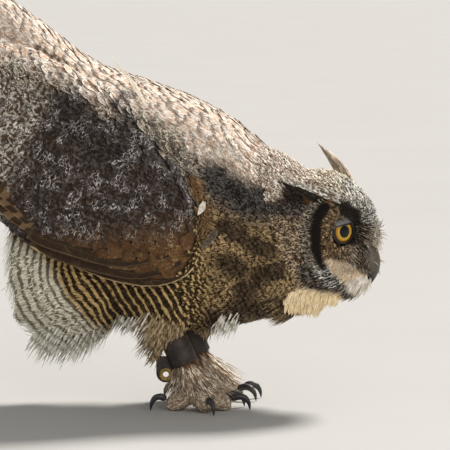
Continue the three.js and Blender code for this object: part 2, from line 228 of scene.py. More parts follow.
VOXEL = 2.6
SWELL = 0.35
# Where the body is thin, the skin is drawn in by a share of its thickness at most, measured from just inside.
BELOW_SKIN = 0.2
THICKEST = 40
MOST_DRAWN = 0.38
LEAST_HEIGHT = 0.15
COAT_DEPTH = {"head": 2.6, "neck": 4.5, "breast": 5.0, "rump": 4.5, "vent": 11.0,
              "thigh": 4.0, "tarsus": 2.0, "foot": 1.1, "wing": 3.2}


def vertex_normals(points, tris):
    a, b, c = (points[tris[:, k]] for k in range(3))
    face = np.cross(b - a, c - a)
    out = np.zeros_like(points)
    for k in range(3):
        for axis in range(3):
            out[:, axis] += np.bincount(tris[:, k], face[:, axis], len(points))
    return unit(out)


def relaxed(values, edges, rounds):
    """Values at the points of a mesh, each drawn halfway to the mean of its neighbours."""
    flat = values.reshape(len(values), -1).copy()
    ends = np.concatenate([edges, edges[:, ::-1]])
    count = np.maximum(np.bincount(ends[:, 0], minlength=len(flat)), 1)
    for _ in range(rounds):
        for axis in range(flat.shape[1]):
            mean = np.bincount(ends[:, 0], flat[ends[:, 1], axis], len(flat)) / count
            flat[:, axis] += (mean - flat[:, axis]) * 0.5
    return flat.reshape(values.shape)


def tree_of(points, tris):
    return BVHTree.FromPolygons(points.tolist(), tris.tolist())


def joined_nodes(names, swell=0.0):
    """The points and triangles of several CAD nodes, swollen a little, and the node of each triangle."""
    points, tris, owner = [], [], []
    for k, name in enumerate(names):
        p, t = mesh_arrays(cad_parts[name].data)
        tris.append(t + sum(len(q) for q in points))
        points.append(p + vertex_normals(p, t) * swell)
        owner.append(np.full(len(t), k))
    return [np.concatenate(a) for a in (points, tris, owner)]


def largest_body(count, edges):
    """The points of the mesh's largest connected body."""
    label = np.arange(count)
    while True:
        low = label.copy()
        np.minimum.at(low, edges[:, 0], label[edges[:, 1]])
        np.minimum.at(low, edges[:, 1], label[edges[:, 0]])
        low = low[low]
        if (low == label).all():
            break
        label = low
    return label == np.bincount(label).argmax()

PART = {name: k for k, name in enumerate(COAT_DEPTH)}
BILL_SIDE = 9.0
TRIES = 3.2  # points tried for each one the spacing has room for


def beside_bill(p):
    """Draws the face in beside the bill, where only the bristles lie over the horn."""
    local = head_local(p)
    share = ease(39, 47, local[:, 0]) * band(-43, -27, 7, local[:, 2])
    drawn = np.sign(local[:, 1]) * np.minimum(np.abs(local[:, 1]), BILL_SIDE)
    local[:, 1] += (drawn - local[:, 1]) * share
    return head_plan(local)


class Skin:
    """One closed surface through all the flesh nodes, drawn in by the depth of the coat."""

    def __init__(self):
        points, tris, owner = joined_nodes(FLESH, SWELL)
        joined = mesh_object("flesh", points, tris.ravel(), np.full(len(tris), 3))
        tuned(joined.modifiers.new("one_skin", "REMESH"), mode="VOXEL", voxel_size=VOXEL * MM)
        self.object = applied(joined, "skin")
        self.settle(tree_of(points, tris), owner)
        self.unwrap()

    def settle(self, flesh, owner):
        """Names each point's part, smooths the surface, and draws it in below the coat."""
        me = self.object.data
        points, tris = mesh_arrays(me)
        edges = read_all(me.edges, "vertices", 2, np.int32)
        kinds = np.array([PART[name.split("_")[0]] for name in FLESH])
        self.part = kinds[[owner[flesh.find_nearest(Vector(p))[2]] for p in points]]
        paws = np.isin(self.part, [PART["foot"], PART["tarsus"]])
        points = np.where(paws[:, None], relaxed(points, edges, 1), relaxed(points, edges, 5))

        normals = vertex_normals(points, tris)
        depth = relaxed(np.array(list(COAT_DEPTH.values()))[self.part], edges, 6)
        outer = tree_of(points, tris)
        for k, (p, n) in enumerate(zip(points, normals)):
            hit = outer.ray_cast(Vector(p - n * BELOW_SKIN), Vector(-n), THICKEST)
            if hit[0] is not None:
                depth[k] = min(depth[k], MOST_DRAWN * hit[3])
        points = points - normals * relaxed(depth, edges, 3)[:, None]
        head = self.part == PART["head"]
        points[head] = beside_bill(points[head])
        points[:, 2] = np.maximum(points[:, 2], LEAST_HEIGHT)
        write_all(me.vertices, "co", to_frame(points))
        write_all(me.polygons, "use_smooth", np.ones(len(me.polygons)), bool)
        me.update()
        self.points, self.tris = points, tris
        self.normals = unit(relaxed(vertex_normals(points, tris), edges, 3))
        self.keep = largest_body(len(points), edges)
        self.tree = tree_of(points, tris)

    def unwrap(self):
        """Lays the skin out flat by its own shape. The coat's patches are placed on the same map."""
        ob = self.object
        bpy.ops.object.select_all(action="DESELECT")
        ob.select_set(True)
        bpy.context.view_layer.objects.active = ob
        ob.data.uv_layers.new(name="OFBake")
        bpy.ops.object.mode_set(mode="EDIT")
        bpy.ops.mesh.select_all(action="SELECT")
        bpy.ops.uv.smart_project(angle_limit=1.15, island_margin=0.004, scale_to_bounds=True)
        bpy.ops.object.mode_set(mode="OBJECT")
        corners = read_all(ob.data.loops, "vertex_index", 1, np.int32)[:, 0]
        self.uv = np.zeros((len(self.points), 2))
        self.uv[corners] = read_all(ob.data.uv_layers["OFBake"].uv, "vector", 2)

    def near(self, points):
        """The map place of the skin nearest to each point."""
        return self.uv[[self.tris[self.tree.find_nearest(Vector(p))[2], 0] for p in points]]

    def sample(self, where, spacing):
        """Points on the skin where where is true, spread evenly about spacing apart."""
        chosen = self.tris[where[self.tris].all(1) & self.keep[self.tris[:, 0]]]
        a, b, c = (self.points[chosen[:, k]] for k in range(3))
        area = np.linalg.norm(np.cross(b - a, c - a), axis=1) / 2
        count = int(TRIES * area.sum() / spacing**2)
        pick = chosen[RNG.choice(len(chosen), count, p=area / area.sum())]
        u, v = RNG.random((2, count))
        flip = u + v > 1
        u, v = np.where(flip, 1 - u, u), np.where(flip, 1 - v, v)
        weights = np.stack([1 - u - v, u, v], 1)[..., None]
        rooted = (self.points[pick] * weights).sum(1)
        tree = KDTree(count)
        for k, p in enumerate(rooted):
            tree.insert(p, k)
        tree.balance()
        alive = np.ones(count, bool)
        for k, p in enumerate(rooted):
            if alive[k]:
                for _, other, _ in tree.find_range(p, spacing):
                    if other > k:
                        alive[other] = False
        corner = pick[np.arange(count), weights[..., 0].argmax(1)]
        normals = unit((self.normals[pick] * weights).sum(1))
        return [a[alive] for a in (rooted, normals, self.uv[corner], self.part[corner])]


# ---- the lie of the coat

DISC_MIDDLE = (-4, -5)
DISC_HALF = (37, 31)
FACE_POINT = np.array([58.0, 0.0, -20.0])
BACK_ANGLE = [(-60, 38), (50, 42), (100, 26), (180, 24), (250, 40), (330, 30)]
BELLY_ANGLE = [(0, -35), (60, -20), (100, 6), (150, 10), (205, -4), (240, -22), (285, -45), (325, -65)]
BACK_LINE = [(-76, 382), (36, 392), (92, 350), (188, 316), (232, 293), (294, 248), (350, 160)]
BELLY_LINE = [(-76, 382), (-6, 250), (46, 152), (104, 92), (164, 73), (262, 84), (324, 96), (350, 160)]


def trunk_level(p):
    """How high a point is on the trunk, from 0 at the belly to 1 along the back."""
    top, low = through(BACK_LINE, p[:, 0]), through(BELLY_LINE, p[:, 0])
    return np.clip((p[:, 2] - low) / np.maximum(top - low, 1), 0, 1)


def sweep(angle):
    """Backwards, and up by angle degrees."""
    a = np.radians(angle)
    return np.stack([-np.cos(a), 0 * a, np.sin(a)], 1)


def trunk_lie(p):
    level = ease(0.15, 0.75, trunk_level(p))
    low, high = through(BELLY_ANGLE, p[:, 0]), through(BACK_ANGLE, p[:, 0])
    return sweep(low + (high - low) * level)


def wing_lie(p):
    return sweep(10 + 20 * ease(140, 235, p[:, 2]) + 24 * fade(-10, 95, p[:, 0]))


def leg_lie(p):
    down = np.tile([-0.25, 0.0, -1.0], (len(p), 1))
    down[:, 2] = np.where(p[:, 2] < 34, -0.35, -1)
    return down


def foot_lie(p):
    """Out along the toes from under the ankle, and down the front of the foot."""
    side = np.where(p[:, 1] < 0, -1, 1)
    ankle = np.stack([np.where(side < 0, 197, 209), np.where(side < 0, -40, 37)], 1)
    out = unit(p[:, :2] - ankle)
    return np.concatenate([out, np.full((len(p), 1), -0.45)], 1)


def disc_place(local):
    """Where a point of the face lies about its own side's eye: outwards, upwards and along the look."""
    side = np.where(local[:, 1] < 0, -1.0, 1.0)
    from_eye = np.stack([local[:, 0] - IRIS[0], np.abs(local[:, 1]) - IRIS[1], local[:, 2] - IRIS[2]], 1)
    c, s = math.cos(EYE_OUTWARD), math.sin(EYE_OUTWARD)
    outward = -from_eye[:, 0] * s + from_eye[:, 1] * c
    return side, outward, from_eye[:, 2]


def disc_reach(local):
    """0 at the middle of the facial disc, 1 on its rim."""
    _, outward, up = disc_place(local)
    across = (outward - DISC_MIDDLE[0]) / DISC_HALF[0]
    height = (up - DISC_MIDDLE[1]) / DISC_HALF[1]
    return (np.abs(across) ** 3 + np.abs(height) ** 3) ** (1 / 3)


def head_lie(p):
    local = head_local(p)
    side, outward, up = disc_place(local)
    c, s = math.cos(EYE_OUTWARD), math.sin(EYE_OUTWARD)
    radial = np.stack([-s * outward, side * c * outward, up], 1)
    away = local - FACE_POINT
    away[:, 0] -= 25
    away[:, 2] = np.where(away[:, 2] < 0, away[:, 2] * 1.4, away[:, 2] * 0.6)
    inside = fade(0.95, 1.15, disc_reach(local))
    inside *= ease(-5, 12, local[:, 0])
    return (unit(radial) * inside[:, None] + unit(away) * (1 - inside[:, None])) @ HEAD_AXES


def by_part(out, ways, p, part):
    """out, with the rows of each part that has a way of its own filled in by that."""
    for name, way in ways.items():
        mine = part == PART[name]
        if mine.any():
            out[mine] = way(p[mine])
    return out


def lie_of(p, part):
    """The way the coat lies at each point, before it is laid flat on the skin."""
    ways = {"head": head_lie, "wing": wing_lie, "thigh": leg_lie, "tarsus": leg_lie, "foot": foot_lie}
    return unit(by_part(trunk_lie(p), ways, p, part))


# ---- markings

UMBER = (0.036, 0.021, 0.012)
BARK = (0.085, 0.054, 0.032)
BLACK = (0.010, 0.008, 0.007)
BUFF = (0.42, 0.29, 0.15)
DUN = (0.24, 0.17, 0.10)
CREAM = (0.74, 0.56, 0.31)
WHITE = (0.99, 0.94, 0.85)
RUST = (0.115, 0.055, 0.022)
DUST = (0.20, 0.165, 0.120)
HONEY = (0.62, 0.43, 0.19)
EARTH = (0.022, 0.012, 0.005)
STEEL = (0.26, 0.235, 0.215)
DOWN = (0.88, 0.84, 0.69)
ASH = (0.45, 0.42, 0.33)
SHELL = (0.64, 0.55, 0.43)
IVORY = (0.95, 0.84, 0.68)
PEARL = (0.62, 0.58, 0.57)
SEPIA = (0.030, 0.018, 0.012)
BISTRE = (0.15, 0.10, 0.062)
RUSSET = (0.15, 0.055, 0.016)


def plain(pale, dark, threads, specks, edge, length=5):
    """A tone without bars."""
    return pale, dark, 0, threads, specks, edge, 0.5, 1, length


# Two colours, pale and dark; strength of bars, threads, specks and pale edge; then of the bars: share of pale,
# waver and length in mm.
TONES = {
    "mantle": (WHITE, (0.53, 0.36, 0.255), 0, 1, 0.68, 0.4, 0.5, 1.2, 9),
    "mantle_shade": (BUFF, UMBER, 0, 0.7, 0.45, 0.1, 0.5, 1.2, 9),
    "scapular": (WHITE, (0.27, 0.175, 0.115), 0, 0.95, 0.35, 0.35, 0.5, 1.2, 9),
    # painted shadow: the dark strip that the scapulars cast on the wing below them
    "scapular_shadow": (IVORY, (0.055, 0.033, 0.021), 0, 0.7, 0.25, 0.15, 0.5, 1.2, 9),
    "breast": ((0.58, 0.40, 0.20), EARTH, 0.25, 0.75, 0.66, 0.05, 0.35, 2.4, 5.2),
    "blotch": (DUN, EARTH, 0.15, 0.5, 0.14, 0.05, 0.3, 2.4, 5.2),
    "breast_top": (STEEL, BLACK, 0, 0.55, 0.3, 0.05, 0.42, 2.4, 7),
    "belly": (HONEY, EARTH, 1, 0.05, 0.1, 0, 0.22, 1, 7.6),
    "belly_rear": (HONEY, EARTH, 1, 0.05, 0.15, 0, 0.42, 1, 7.6),
    "vent": (DOWN, DUST, 1, 0.1, 0.2, 0.1, 0.66, 0.7, 9.6),
    "fluff": (WHITE, ASH, 0.7, 0.1, 0.2, 0.3, 0.7, 0.7, 9.6),
    "wing": (PEARL, SEPIA, 0, 0.85, 0.08, 0.1, 0.3, 1.4, 11),
    # the wing's darker tone, which the strokes below also use for painted shadows that feathers cast
    "wing_dark_and_shadow": (PEARL, (0.016, 0.011, 0.009), 0, 0.65, 0.06, 0.05, 0.3, 1.4, 11),
    "wing_low": ((0.46, 0.28, 0.10), RUST, 0, 0.45, 0.06, 0.1, 0.3, 1.4, 11),
    "wing_rear": (WHITE, BARK, 0, 0.95, 0.55, 0.4, 0.4, 1.2, 14),
    "cheek": ((0.68, 0.51, 0.34), (0.034, 0.019, 0.009), 0, 0.65, 0.8, 0.15, 0.5, 2, 5),
    "crown": ((1.0, 0.88, 0.70), (0.09, 0.042, 0.016), 0, 0.75, 0.82, 0.45, 0.5, 2, 5),
    "forehead": (WHITE, EARTH, 0, 0.7, 0.85, 0.4, 0.5, 2, 5),
    "nape": ((1.0, 0.92, 0.80), (0.20, 0.105, 0.06), 0, 0.85, 0.85, 0.4, 0.5, 2, 5),
    "disc": plain((0.56, 0.39, 0.22), (0.034, 0.019, 0.009), 0.35, 0.85, 0.1),
    "rim": plain(UMBER, BLACK, 0.1, 0.1, 0),
    "border": plain(SHELL, BLACK, 0.7, 0.65, 0.25),
    "speckle": plain(WHITE, BLACK, 0.6, 0.8, 0.2),
    "beard": plain(SHELL, BLACK, 0.2, 0.35, 0.1),
    "lores": plain((0.74, 0.66, 0.52), BARK, 0.5, 0.6, 0.2),
    "chin": plain(IVORY, (0.60, 0.45, 0.30), 0.2, 0.75, 0.6),
    "throat": plain((1.0, 0.90, 0.68), (0.95, 0.74, 0.45), 0, 0.8, 0.3),
    "bristle": plain(SHELL, UMBER, 0, 0.4, 0.1),
    "chin_white": plain((1.0, 0.96, 0.90), (0.74, 0.66, 0.56), 0.1, 0.9, 0.7),
    "bristle_dark": plain(DUN, BLACK, 0, 0.1, 0.1),
    "front": plain(WHITE, (0.42, 0.35, 0.27), 0.6, 0.7, 0.5),
    "bristle_tip": plain(IVORY, BISTRE, 0, 0.6, 0.1),
    "bristle_pale": plain(WHITE, SHELL, 0, 0.5, 0.1),
    "leg": ((0.64, 0.49, 0.30), (0.15, 0.098, 0.055), 0.2, 0.5, 0.6, 0.2, 0.5, 1, 6.5),
    "foot": plain((0.84, 0.74, 0.60), (0.30, 0.20, 0.13), 0.4, 0.95, 0.3, 6),
    "rust": plain(BUFF, (0.22, 0.085, 0.025), 0.5, 0.5, 0.1),
    "garter": plain(DUN, RUSSET, 0.2, 0.35, 0.1, 6),
    "hem": plain(CREAM, CREAM, 0, 0, 0, 6),
    # the ear tufts' dark colour; on the near tuft's low side and on the head below it, also painted shade
    "tuft": plain(DUN, BLACK, 0.1, 0.1, 0.15, 6),
    "tuft_pale": plain(WHITE, BISTRE, 0.6, 0.8, 0.5, 6),
    # painted light: the far ear tuft is painted pale, as if lit through from behind
    "tuft_far_lit": plain(IVORY, (0.42, 0.30, 0.20), 0.6, 0.8, 0.8, 6),
    "edge": plain(BUFF, UMBER, 0.2, 0.05, 0.9, 6),
    "edge_inner": plain(DUN, UMBER, 0.35, 0.05, 0.35, 6),
    "gap": plain(BUFF, RUST, 0.4, 0.5, 0.4, 6),
    "gap_white": plain(WHITE, SHELL, 0.3, 0.6, 0.3, 6),
    "gap_dark": plain(SHELL, (0.075, 0.055, 0.042), 0.2, 0.1, 0.25, 6),
    "primary": ((0.30, 0.19, 0.10), UMBER, 0.5, 0.2, 0.1, 0.5, 0.35, 0.6, 21),
    "quill": (DUN, UMBER, 0.5, 0.3, 0.2, 0.2, 0.42, 0.5, 22),
    "rectrix": (BUFF, UMBER, 1, 0.25, 0.15, 0.1, 0.5, 0.4, 19),
    "shaft": plain(WHITE, IVORY, 0.2, 0.5, 0.3, 6),
}
TONE_ROWS = {name: np.array([*pale, *dark, *numbers], float) for name, (pale, dark, *numbers) in TONES.items()}
LENGTH = 12  # the place of a bar's length in a row

# Lines in the side view, in its pixels.
SCAPULAR_LINE = [(24, 80), (70, 88), (112, 98), (147, 116), (190, 150), (218, 174)]
MANTLE_LINE = [(0, 60), (30, 70), (68, 86), (91, 100), (109, 106), (127, 104), (147, 111), (159, 122), (179, 137),
               (195, 151), (218, 171), (238, 180), (272, 194), (300, 200)]
VENT_LINE = [(0, 228), (26, 242), (46, 258), (58, 278), (70, 298), (84, 315), (98, 325), (130, 331), (200, 338)]
THROAT_LINE = [(293, 298), (306, 299), (333, 301)]
BLOTCHES = [([(226, 226), (240, 236)], 5), ([(252, 244), (270, 250)], 4), ([(224, 262), (238, 268)], 5),
            ([(258, 276), (276, 270)], 5), ([(236, 306), (262, 308), (284, 304)], 4), ([(282, 226), (290, 236)], 4),
            ([(206, 318), (236, 320)], 5), ([(240, 288), (250, 290)], 4)]

# Marks as the side view shows them: tone, broken line, half width, softness and strength.
BREAST_MARKS = [("breast_top", [(214, 178), (238, 198), (262, 204), (290, 200)], 5, 26, 1),
                *(("blotch", line, half, 9, 1) for line, half in BLOTCHES)]
# Painted shadows that feathers cast on the back, near the standing shafts.
SCAPULAR_SHADOWS = [("wing_dark_and_shadow", [(112, 104), (120, 96), (132, 97)], 2.5, 4, 0.8),
                  ("wing_dark_and_shadow", [(126, 112), (129, 124)], 2.5, 4, 0.8)]
# Apart from the tawny gap before the wing, the strokes here are painted shadows.
TRUNK_MARKS = [("wing_dark_and_shadow", [(15, 86), (26, 93)], 2.5, 2.5, 1),
               ("gap", [(194, 184), (201, 205), (205, 235)], 6, 5, 1),
               ("mantle_shade", [(36, 48), (58, 60), (74, 70)], 1.5, 3, 0.8), *SCAPULAR_SHADOWS]
# A painted shadow on the wing below the scapulars, then the painted shadows near the shafts.
WING_MARKS = [("wing_dark_and_shadow", [(62, 96), (84, 102)], 5, 7, 0.8), *SCAPULAR_SHADOWS]
# Below the near ear tuft the head is painted dark: the tuft's own dark colour, with painted shadow beneath it.
BROW_MARKS = [("tuft", [(290, 193), (312, 197), (332, 202)], 7, 4, 1),
              ("rust", [(310, 199), (326, 201)], 3, 4, 0.7),
              ("rust", [(314, 190), (328, 197)], 2, 6, 0.45),
              ("border", [(318, 203), (309, 216), (306, 232), (306, 250), (310, 264)], 4, 4, 1),
              ("disc", [(330, 214), (331, 240), (334, 258)], 8, 5, 1)]
CHIN_MARKS = [("chin", [(330, 267), (343, 271), (356, 279), (366, 285)], 6.5, 3.5, 1),
              ("chin", [(345, 284), (353, 290), (357, 297)], 8, 3.5, 1),
              ("chin_white", [(350, 288), (364, 283)], 4, 6, 1),
              ("speckle", [(321, 270), (328, 280), (338, 289)], 6, 4, 1),
              ("beard", [(304, 271), (312, 282), (324, 291)], 5, 5, 1),
              ("beard", [(336, 294), (347, 300)], 6, 5, 1),
              ("throat", THROAT_LINE, 8, 4, 1)]
RIM_LINE = [(324, 208), (318, 216), (316, 228), (316, 245), (318, 257), (322, 266)]
EYE_MARKS = [("rim", [(340, 205), (348, 205)], 1.8, 2.5, 0.85),
             ("rim", [(345, 211), (355, 214), (356, 226), (353, 240)], 4, 3.5, 0.92)]


class Paint:
    """The tone of each point, mixed zone over zone. x and row are its place in the side view."""

    def __init__(self, x, row, tone):
        self.x, self.row = x, row
        self.value = np.tile(TONE_ROWS[tone], (len(x), 1))

    def lay(self, tone, mask):
        self.value += (TONE_ROWS[tone] - self.value) * np.clip(mask, 0, 1)[:, None]

    def marks(self, table):
        for tone, line, half, soft, strength in table:
            self.lay(tone, stroke(self.x, self.row, line, half, soft) * strength)


def seen(p):
    """Where points show in the side view, across and down, with the far side folded onto the near one."""
    near = p - AIM
    near[:, 1] = -np.abs(near[:, 1])
    scale = VIEW_DISTANCE / (VIEW_DISTANCE + near @ VIEW_ALONG)
    return VIEW_MIDDLE + near[:, 0] * scale, VIEW_MIDDLE - (near @ VIEW_UP) * scale


def stroke(x, row, places, half, soft):
    """1 within half of a broken line in the side view, falling to 0 over soft."""
    gap = np.full(len(x), 1e9)
    for (ax, ay), (bx, by) in zip(places[:-1], places[1:]):
        dx, dy = bx - ax, by - ay
        t = np.clip(((x - ax) * dx + (row - ay) * dy) / (dx * dx + dy * dy), 0, 1)
        gap = np.minimum(gap, np.hypot(x - ax - t * dx, row - ay - t * dy))
    return fade(half, half + soft, gap)


def trunk_paint(p):
    x, row = seen(p)
    level = trunk_level(p)
    under = row - through(MANTLE_LINE, x)
    paint = Paint(x, row, "mantle")
    paint.lay("nape", ease(226, 266, x))
    paint.lay("scapular", ease(-9, 3, under) * fade(225, 262, x))
    # painted shadow under the scapulars
    paint.lay("scapular_shadow", ease(0, 12, under) * fade(215, 250, x))
    paint.lay("breast", fade(0.50, 0.68, level))
    paint.lay("breast", ease(205, 222, x) * ease(178, 194, row))
    paint.marks(BREAST_MARKS)
    paint.lay("belly", fade(188, 212, x) * fade(0.34, 0.5, level))
    paint.lay("belly", fade(190, 216, x) * ease(255, 285, row))
    paint.lay("belly_rear", fade(84, 124, x + 0.3 * (row - 300)) * ease(236, 256, row))
    paint.lay("vent", ease(-5, 7, row - through(VENT_LINE, x)))
    paint.marks(TRUNK_MARKS)
    return paint.value


def wing_paint(p):
    x, row = seen(p)
    under = row - through(MANTLE_LINE, x)
    paint = Paint(x, row, "wing")
    paint.lay("wing_low", ease(215, 262, row + 0.12 * (x - 100)) * 0.9)
    paint.lay("wing_rear", fade(14, 52, x + 0.45 * (row - 130)) * 0.85)
    paint.lay("wing_dark_and_shadow", band(10, 44, 14, under) * band(70, 230, 25, x) * 0.8)
    # painted shadow under the scapulars
    paint.lay("scapular_shadow", fade(4, 22, under))
    paint.lay("scapular", fade(-6, 6, under))
    paint.lay("mantle", fade(-16, -2, under))
    paint.marks(WING_MARKS)
    return paint.value


def head_paint(p):
    """The head's zones are named as the near side shows them, and the far side mirrors them."""
    local = head_local(p)
    local[:, 1] = -np.abs(local[:, 1])
    near = head_plan(local)
    near[:, 1] = np.minimum(near[:, 1], 0)
    x, row = seen(near)
    paint = Paint(x, row, "cheek")
    # the dark upper-breast band runs up the neck behind the tuft, partly as painted shade
    paint.marks([("breast_top", [(262, 205), (290, 206), (312, 204)], 7, 9, 0.8)])
    paint.lay("nape", fade(184, 196, row + 0.35 * (x - 300)))
    crown = fade(196, 210, row - 0.9 * np.clip(x - 345, 0, 40))
    paint.lay("crown", crown * ease(300, 325, x))
    paint.lay("forehead", crown * ease(330, 350, x) * 0.9)
    paint.marks(BROW_MARKS)
    paint.lay("lores", ease(345, 356, x) * band(226, 268, 6, row))
    paint.lay("forehead", ease(356, 362, x) * band(205, 226, 5, row))
    paint.marks(CHIN_MARKS)
    paint.lay("rim", stroke(x, row, RIM_LINE, 4.0 - 2.2 * ease(244, 264, row), 2.6))
    paint.marks(EYE_MARKS)
    paint.lay("rim", fade(10.5, 14, np.hypot(x - 344.5, (row - 232) * 0.9)) * ease(332, 342, x))
    paint.lay("front", ease(54, 60, local[:, 0]) * ease(-24, -14, local[:, 2]))
    return paint.value


def leg_paint(p):
    x, row = seen(p)
    paint = Paint(x, row, "leg")
    paint.lay("foot", fade(26, 46, p[:, 2]))
    paint.lay("belly", fade(316, 328, row - 0.15 * (x - 160)))
    return paint.value


def paint_of(p, part):
    ways = {"head": head_paint, "wing": wing_paint, "thigh": leg_paint, "tarsus": leg_paint, "foot": leg_paint}
    return by_part(trunk_paint(p), ways, p, part)


def dress(me, values, vane, phase, flat):
    """Writes the markings of each point to the mesh. values are rows of tone numbers, phase the bars passed."""
    opaque = np.ones((len(values), 1))
    attribute(me, "pale", np.hstack([values[:, 0:3], opaque]))
    attribute(me, "dark", np.hstack([values[:, 3:6], opaque]))
    attribute(me, "marks", values[:, 6:10])
    attribute(me, "lie", np.stack([phase, values[:, 10], values[:, 11]], 1))
    attribute(me, "vane", vane)
    attribute(me, "flat", flat)


VENT_CENTRE = (105, 143)
VENT_RADIUS = 163


def station(p):
    """How far back along the body a point lies, on the slant of the bars, which run round the vent."""
    straight = -0.87 * p[:, 0] - 0.5 * p[:, 2]
    round_vent = np.hypot(p[:, 0] - VENT_CENTRE[0], p[:, 2] - VENT_CENTRE[1]) - VENT_RADIUS
    share = ease(55, 115, p[:, 0])
    return straight * share + round_vent * (1 - share)


# ---- vanes

class Shape:
    """The outline of a vane: its share of the width along its length."""

    def __init__(self, rows, cols, root=0.4, peak=0.55, tip=0.5, power=2.2, round_tip=0.14, camber=0.16, fray=0.15):
        self.rows, self.cols = rows, cols
        self.root, self.peak, self.tip, self.power = root, peak, tip, power
        self.round_tip, self.camber, self.fray = round_tip, camber, fray

    def width(self, t):
        rise = self.root + (1 - self.root) * ease(0, self.peak, t)
        past = np.clip((t - self.peak) / (1 - self.peak), 0, 1)
        return rise * (1 - (1 - self.tip) * past**self.power)

    def faces(self):
        """Corners and sizes of a closed vane: its face, the strip beneath it, and its two ends."""
        at = np.arange(self.rows * self.cols).reshape(self.rows, self.cols)
        face = np.stack([at[:-1, :-1], at[:-1, 1:], at[1:, 1:], at[1:, :-1]], -1).reshape(-1, 4)
        under = np.stack([at[:-1, 0], at[1:, 0], at[1:, -1], at[:-1, -1]], -1)
        corners = np.concatenate([face.ravel(), under.ravel(), at[0, ::-1], at[-1]])
        return corners, np.repeat([4, self.cols], [len(face) + len(under), 2])


PLUME = Shape(6, 5, round_tip=0.16)
SMALL = Shape(4, 3, root=0.5, peak=0.5, tip=0.35, round_tip=0.1, fray=0.2)
COVERT = Shape(7, 7, root=0.5, peak=0.6, tip=0.6, power=3.0, round_tip=0.22, camber=0.10, fray=0.05)
WISP = Shape(6, 3, root=0.6, peak=0.35, tip=0.06, power=1.3, round_tip=0, camber=0.25, fray=0.45)
NEEDLE = Shape(4, 3, root=0.7, peak=0.3, tip=0.12, power=1.2, round_tip=0, camber=0.3, fray=0.1)
BRISTLE = Shape(6, 3, root=0.8, peak=0.3, tip=0.15, power=1.2, round_tip=0, camber=0.3, fray=0.1)
SCAPULAR = Shape(8, 7, root=0.45, peak=0.55, tip=0.55, power=2.6, round_tip=0.22, camber=0.06, fray=0.10)
BLADE = Shape(10, 5, root=0.5, peak=0.45, tip=0.12, power=1.5, round_tip=0.05, camber=0.14, fray=0.08)
QUILL = Shape(14, 9, root=0.45, peak=0.55, tip=0.55, power=3.4, round_tip=0.05, camber=0.05, fray=0.03)


def laid(skin, roots, normals, part, length, steps, turn):
    """Spines that run over the skin from their roots along the lie of the coat."""
    spine, out = [roots], [normals]
    p, n, stride = roots.copy(), normals.copy(), length / (steps - 1)
    for _ in range(steps - 1):
        way = lie_of(p, part)
        way = unit(way - dot(way, n) * n)
        way = way * np.cos(turn)[:, None] + np.cross(n, way) * np.sin(turn)[:, None]
        ahead = p + way * stride[:, None]
        for k, q in enumerate(ahead):
            co, no, _, gap = skin.tree.find_nearest(Vector(q))
            if gap < 0.5 * stride[k]:
                ahead[k] = co
                n[k] = 0.45 * n[k] + 0.55 * np.array(no)
        p, n = ahead, unit(n)
        spine.append(p)
        out.append(n)
    return np.stack(spine, 1), np.stack(out, 1)


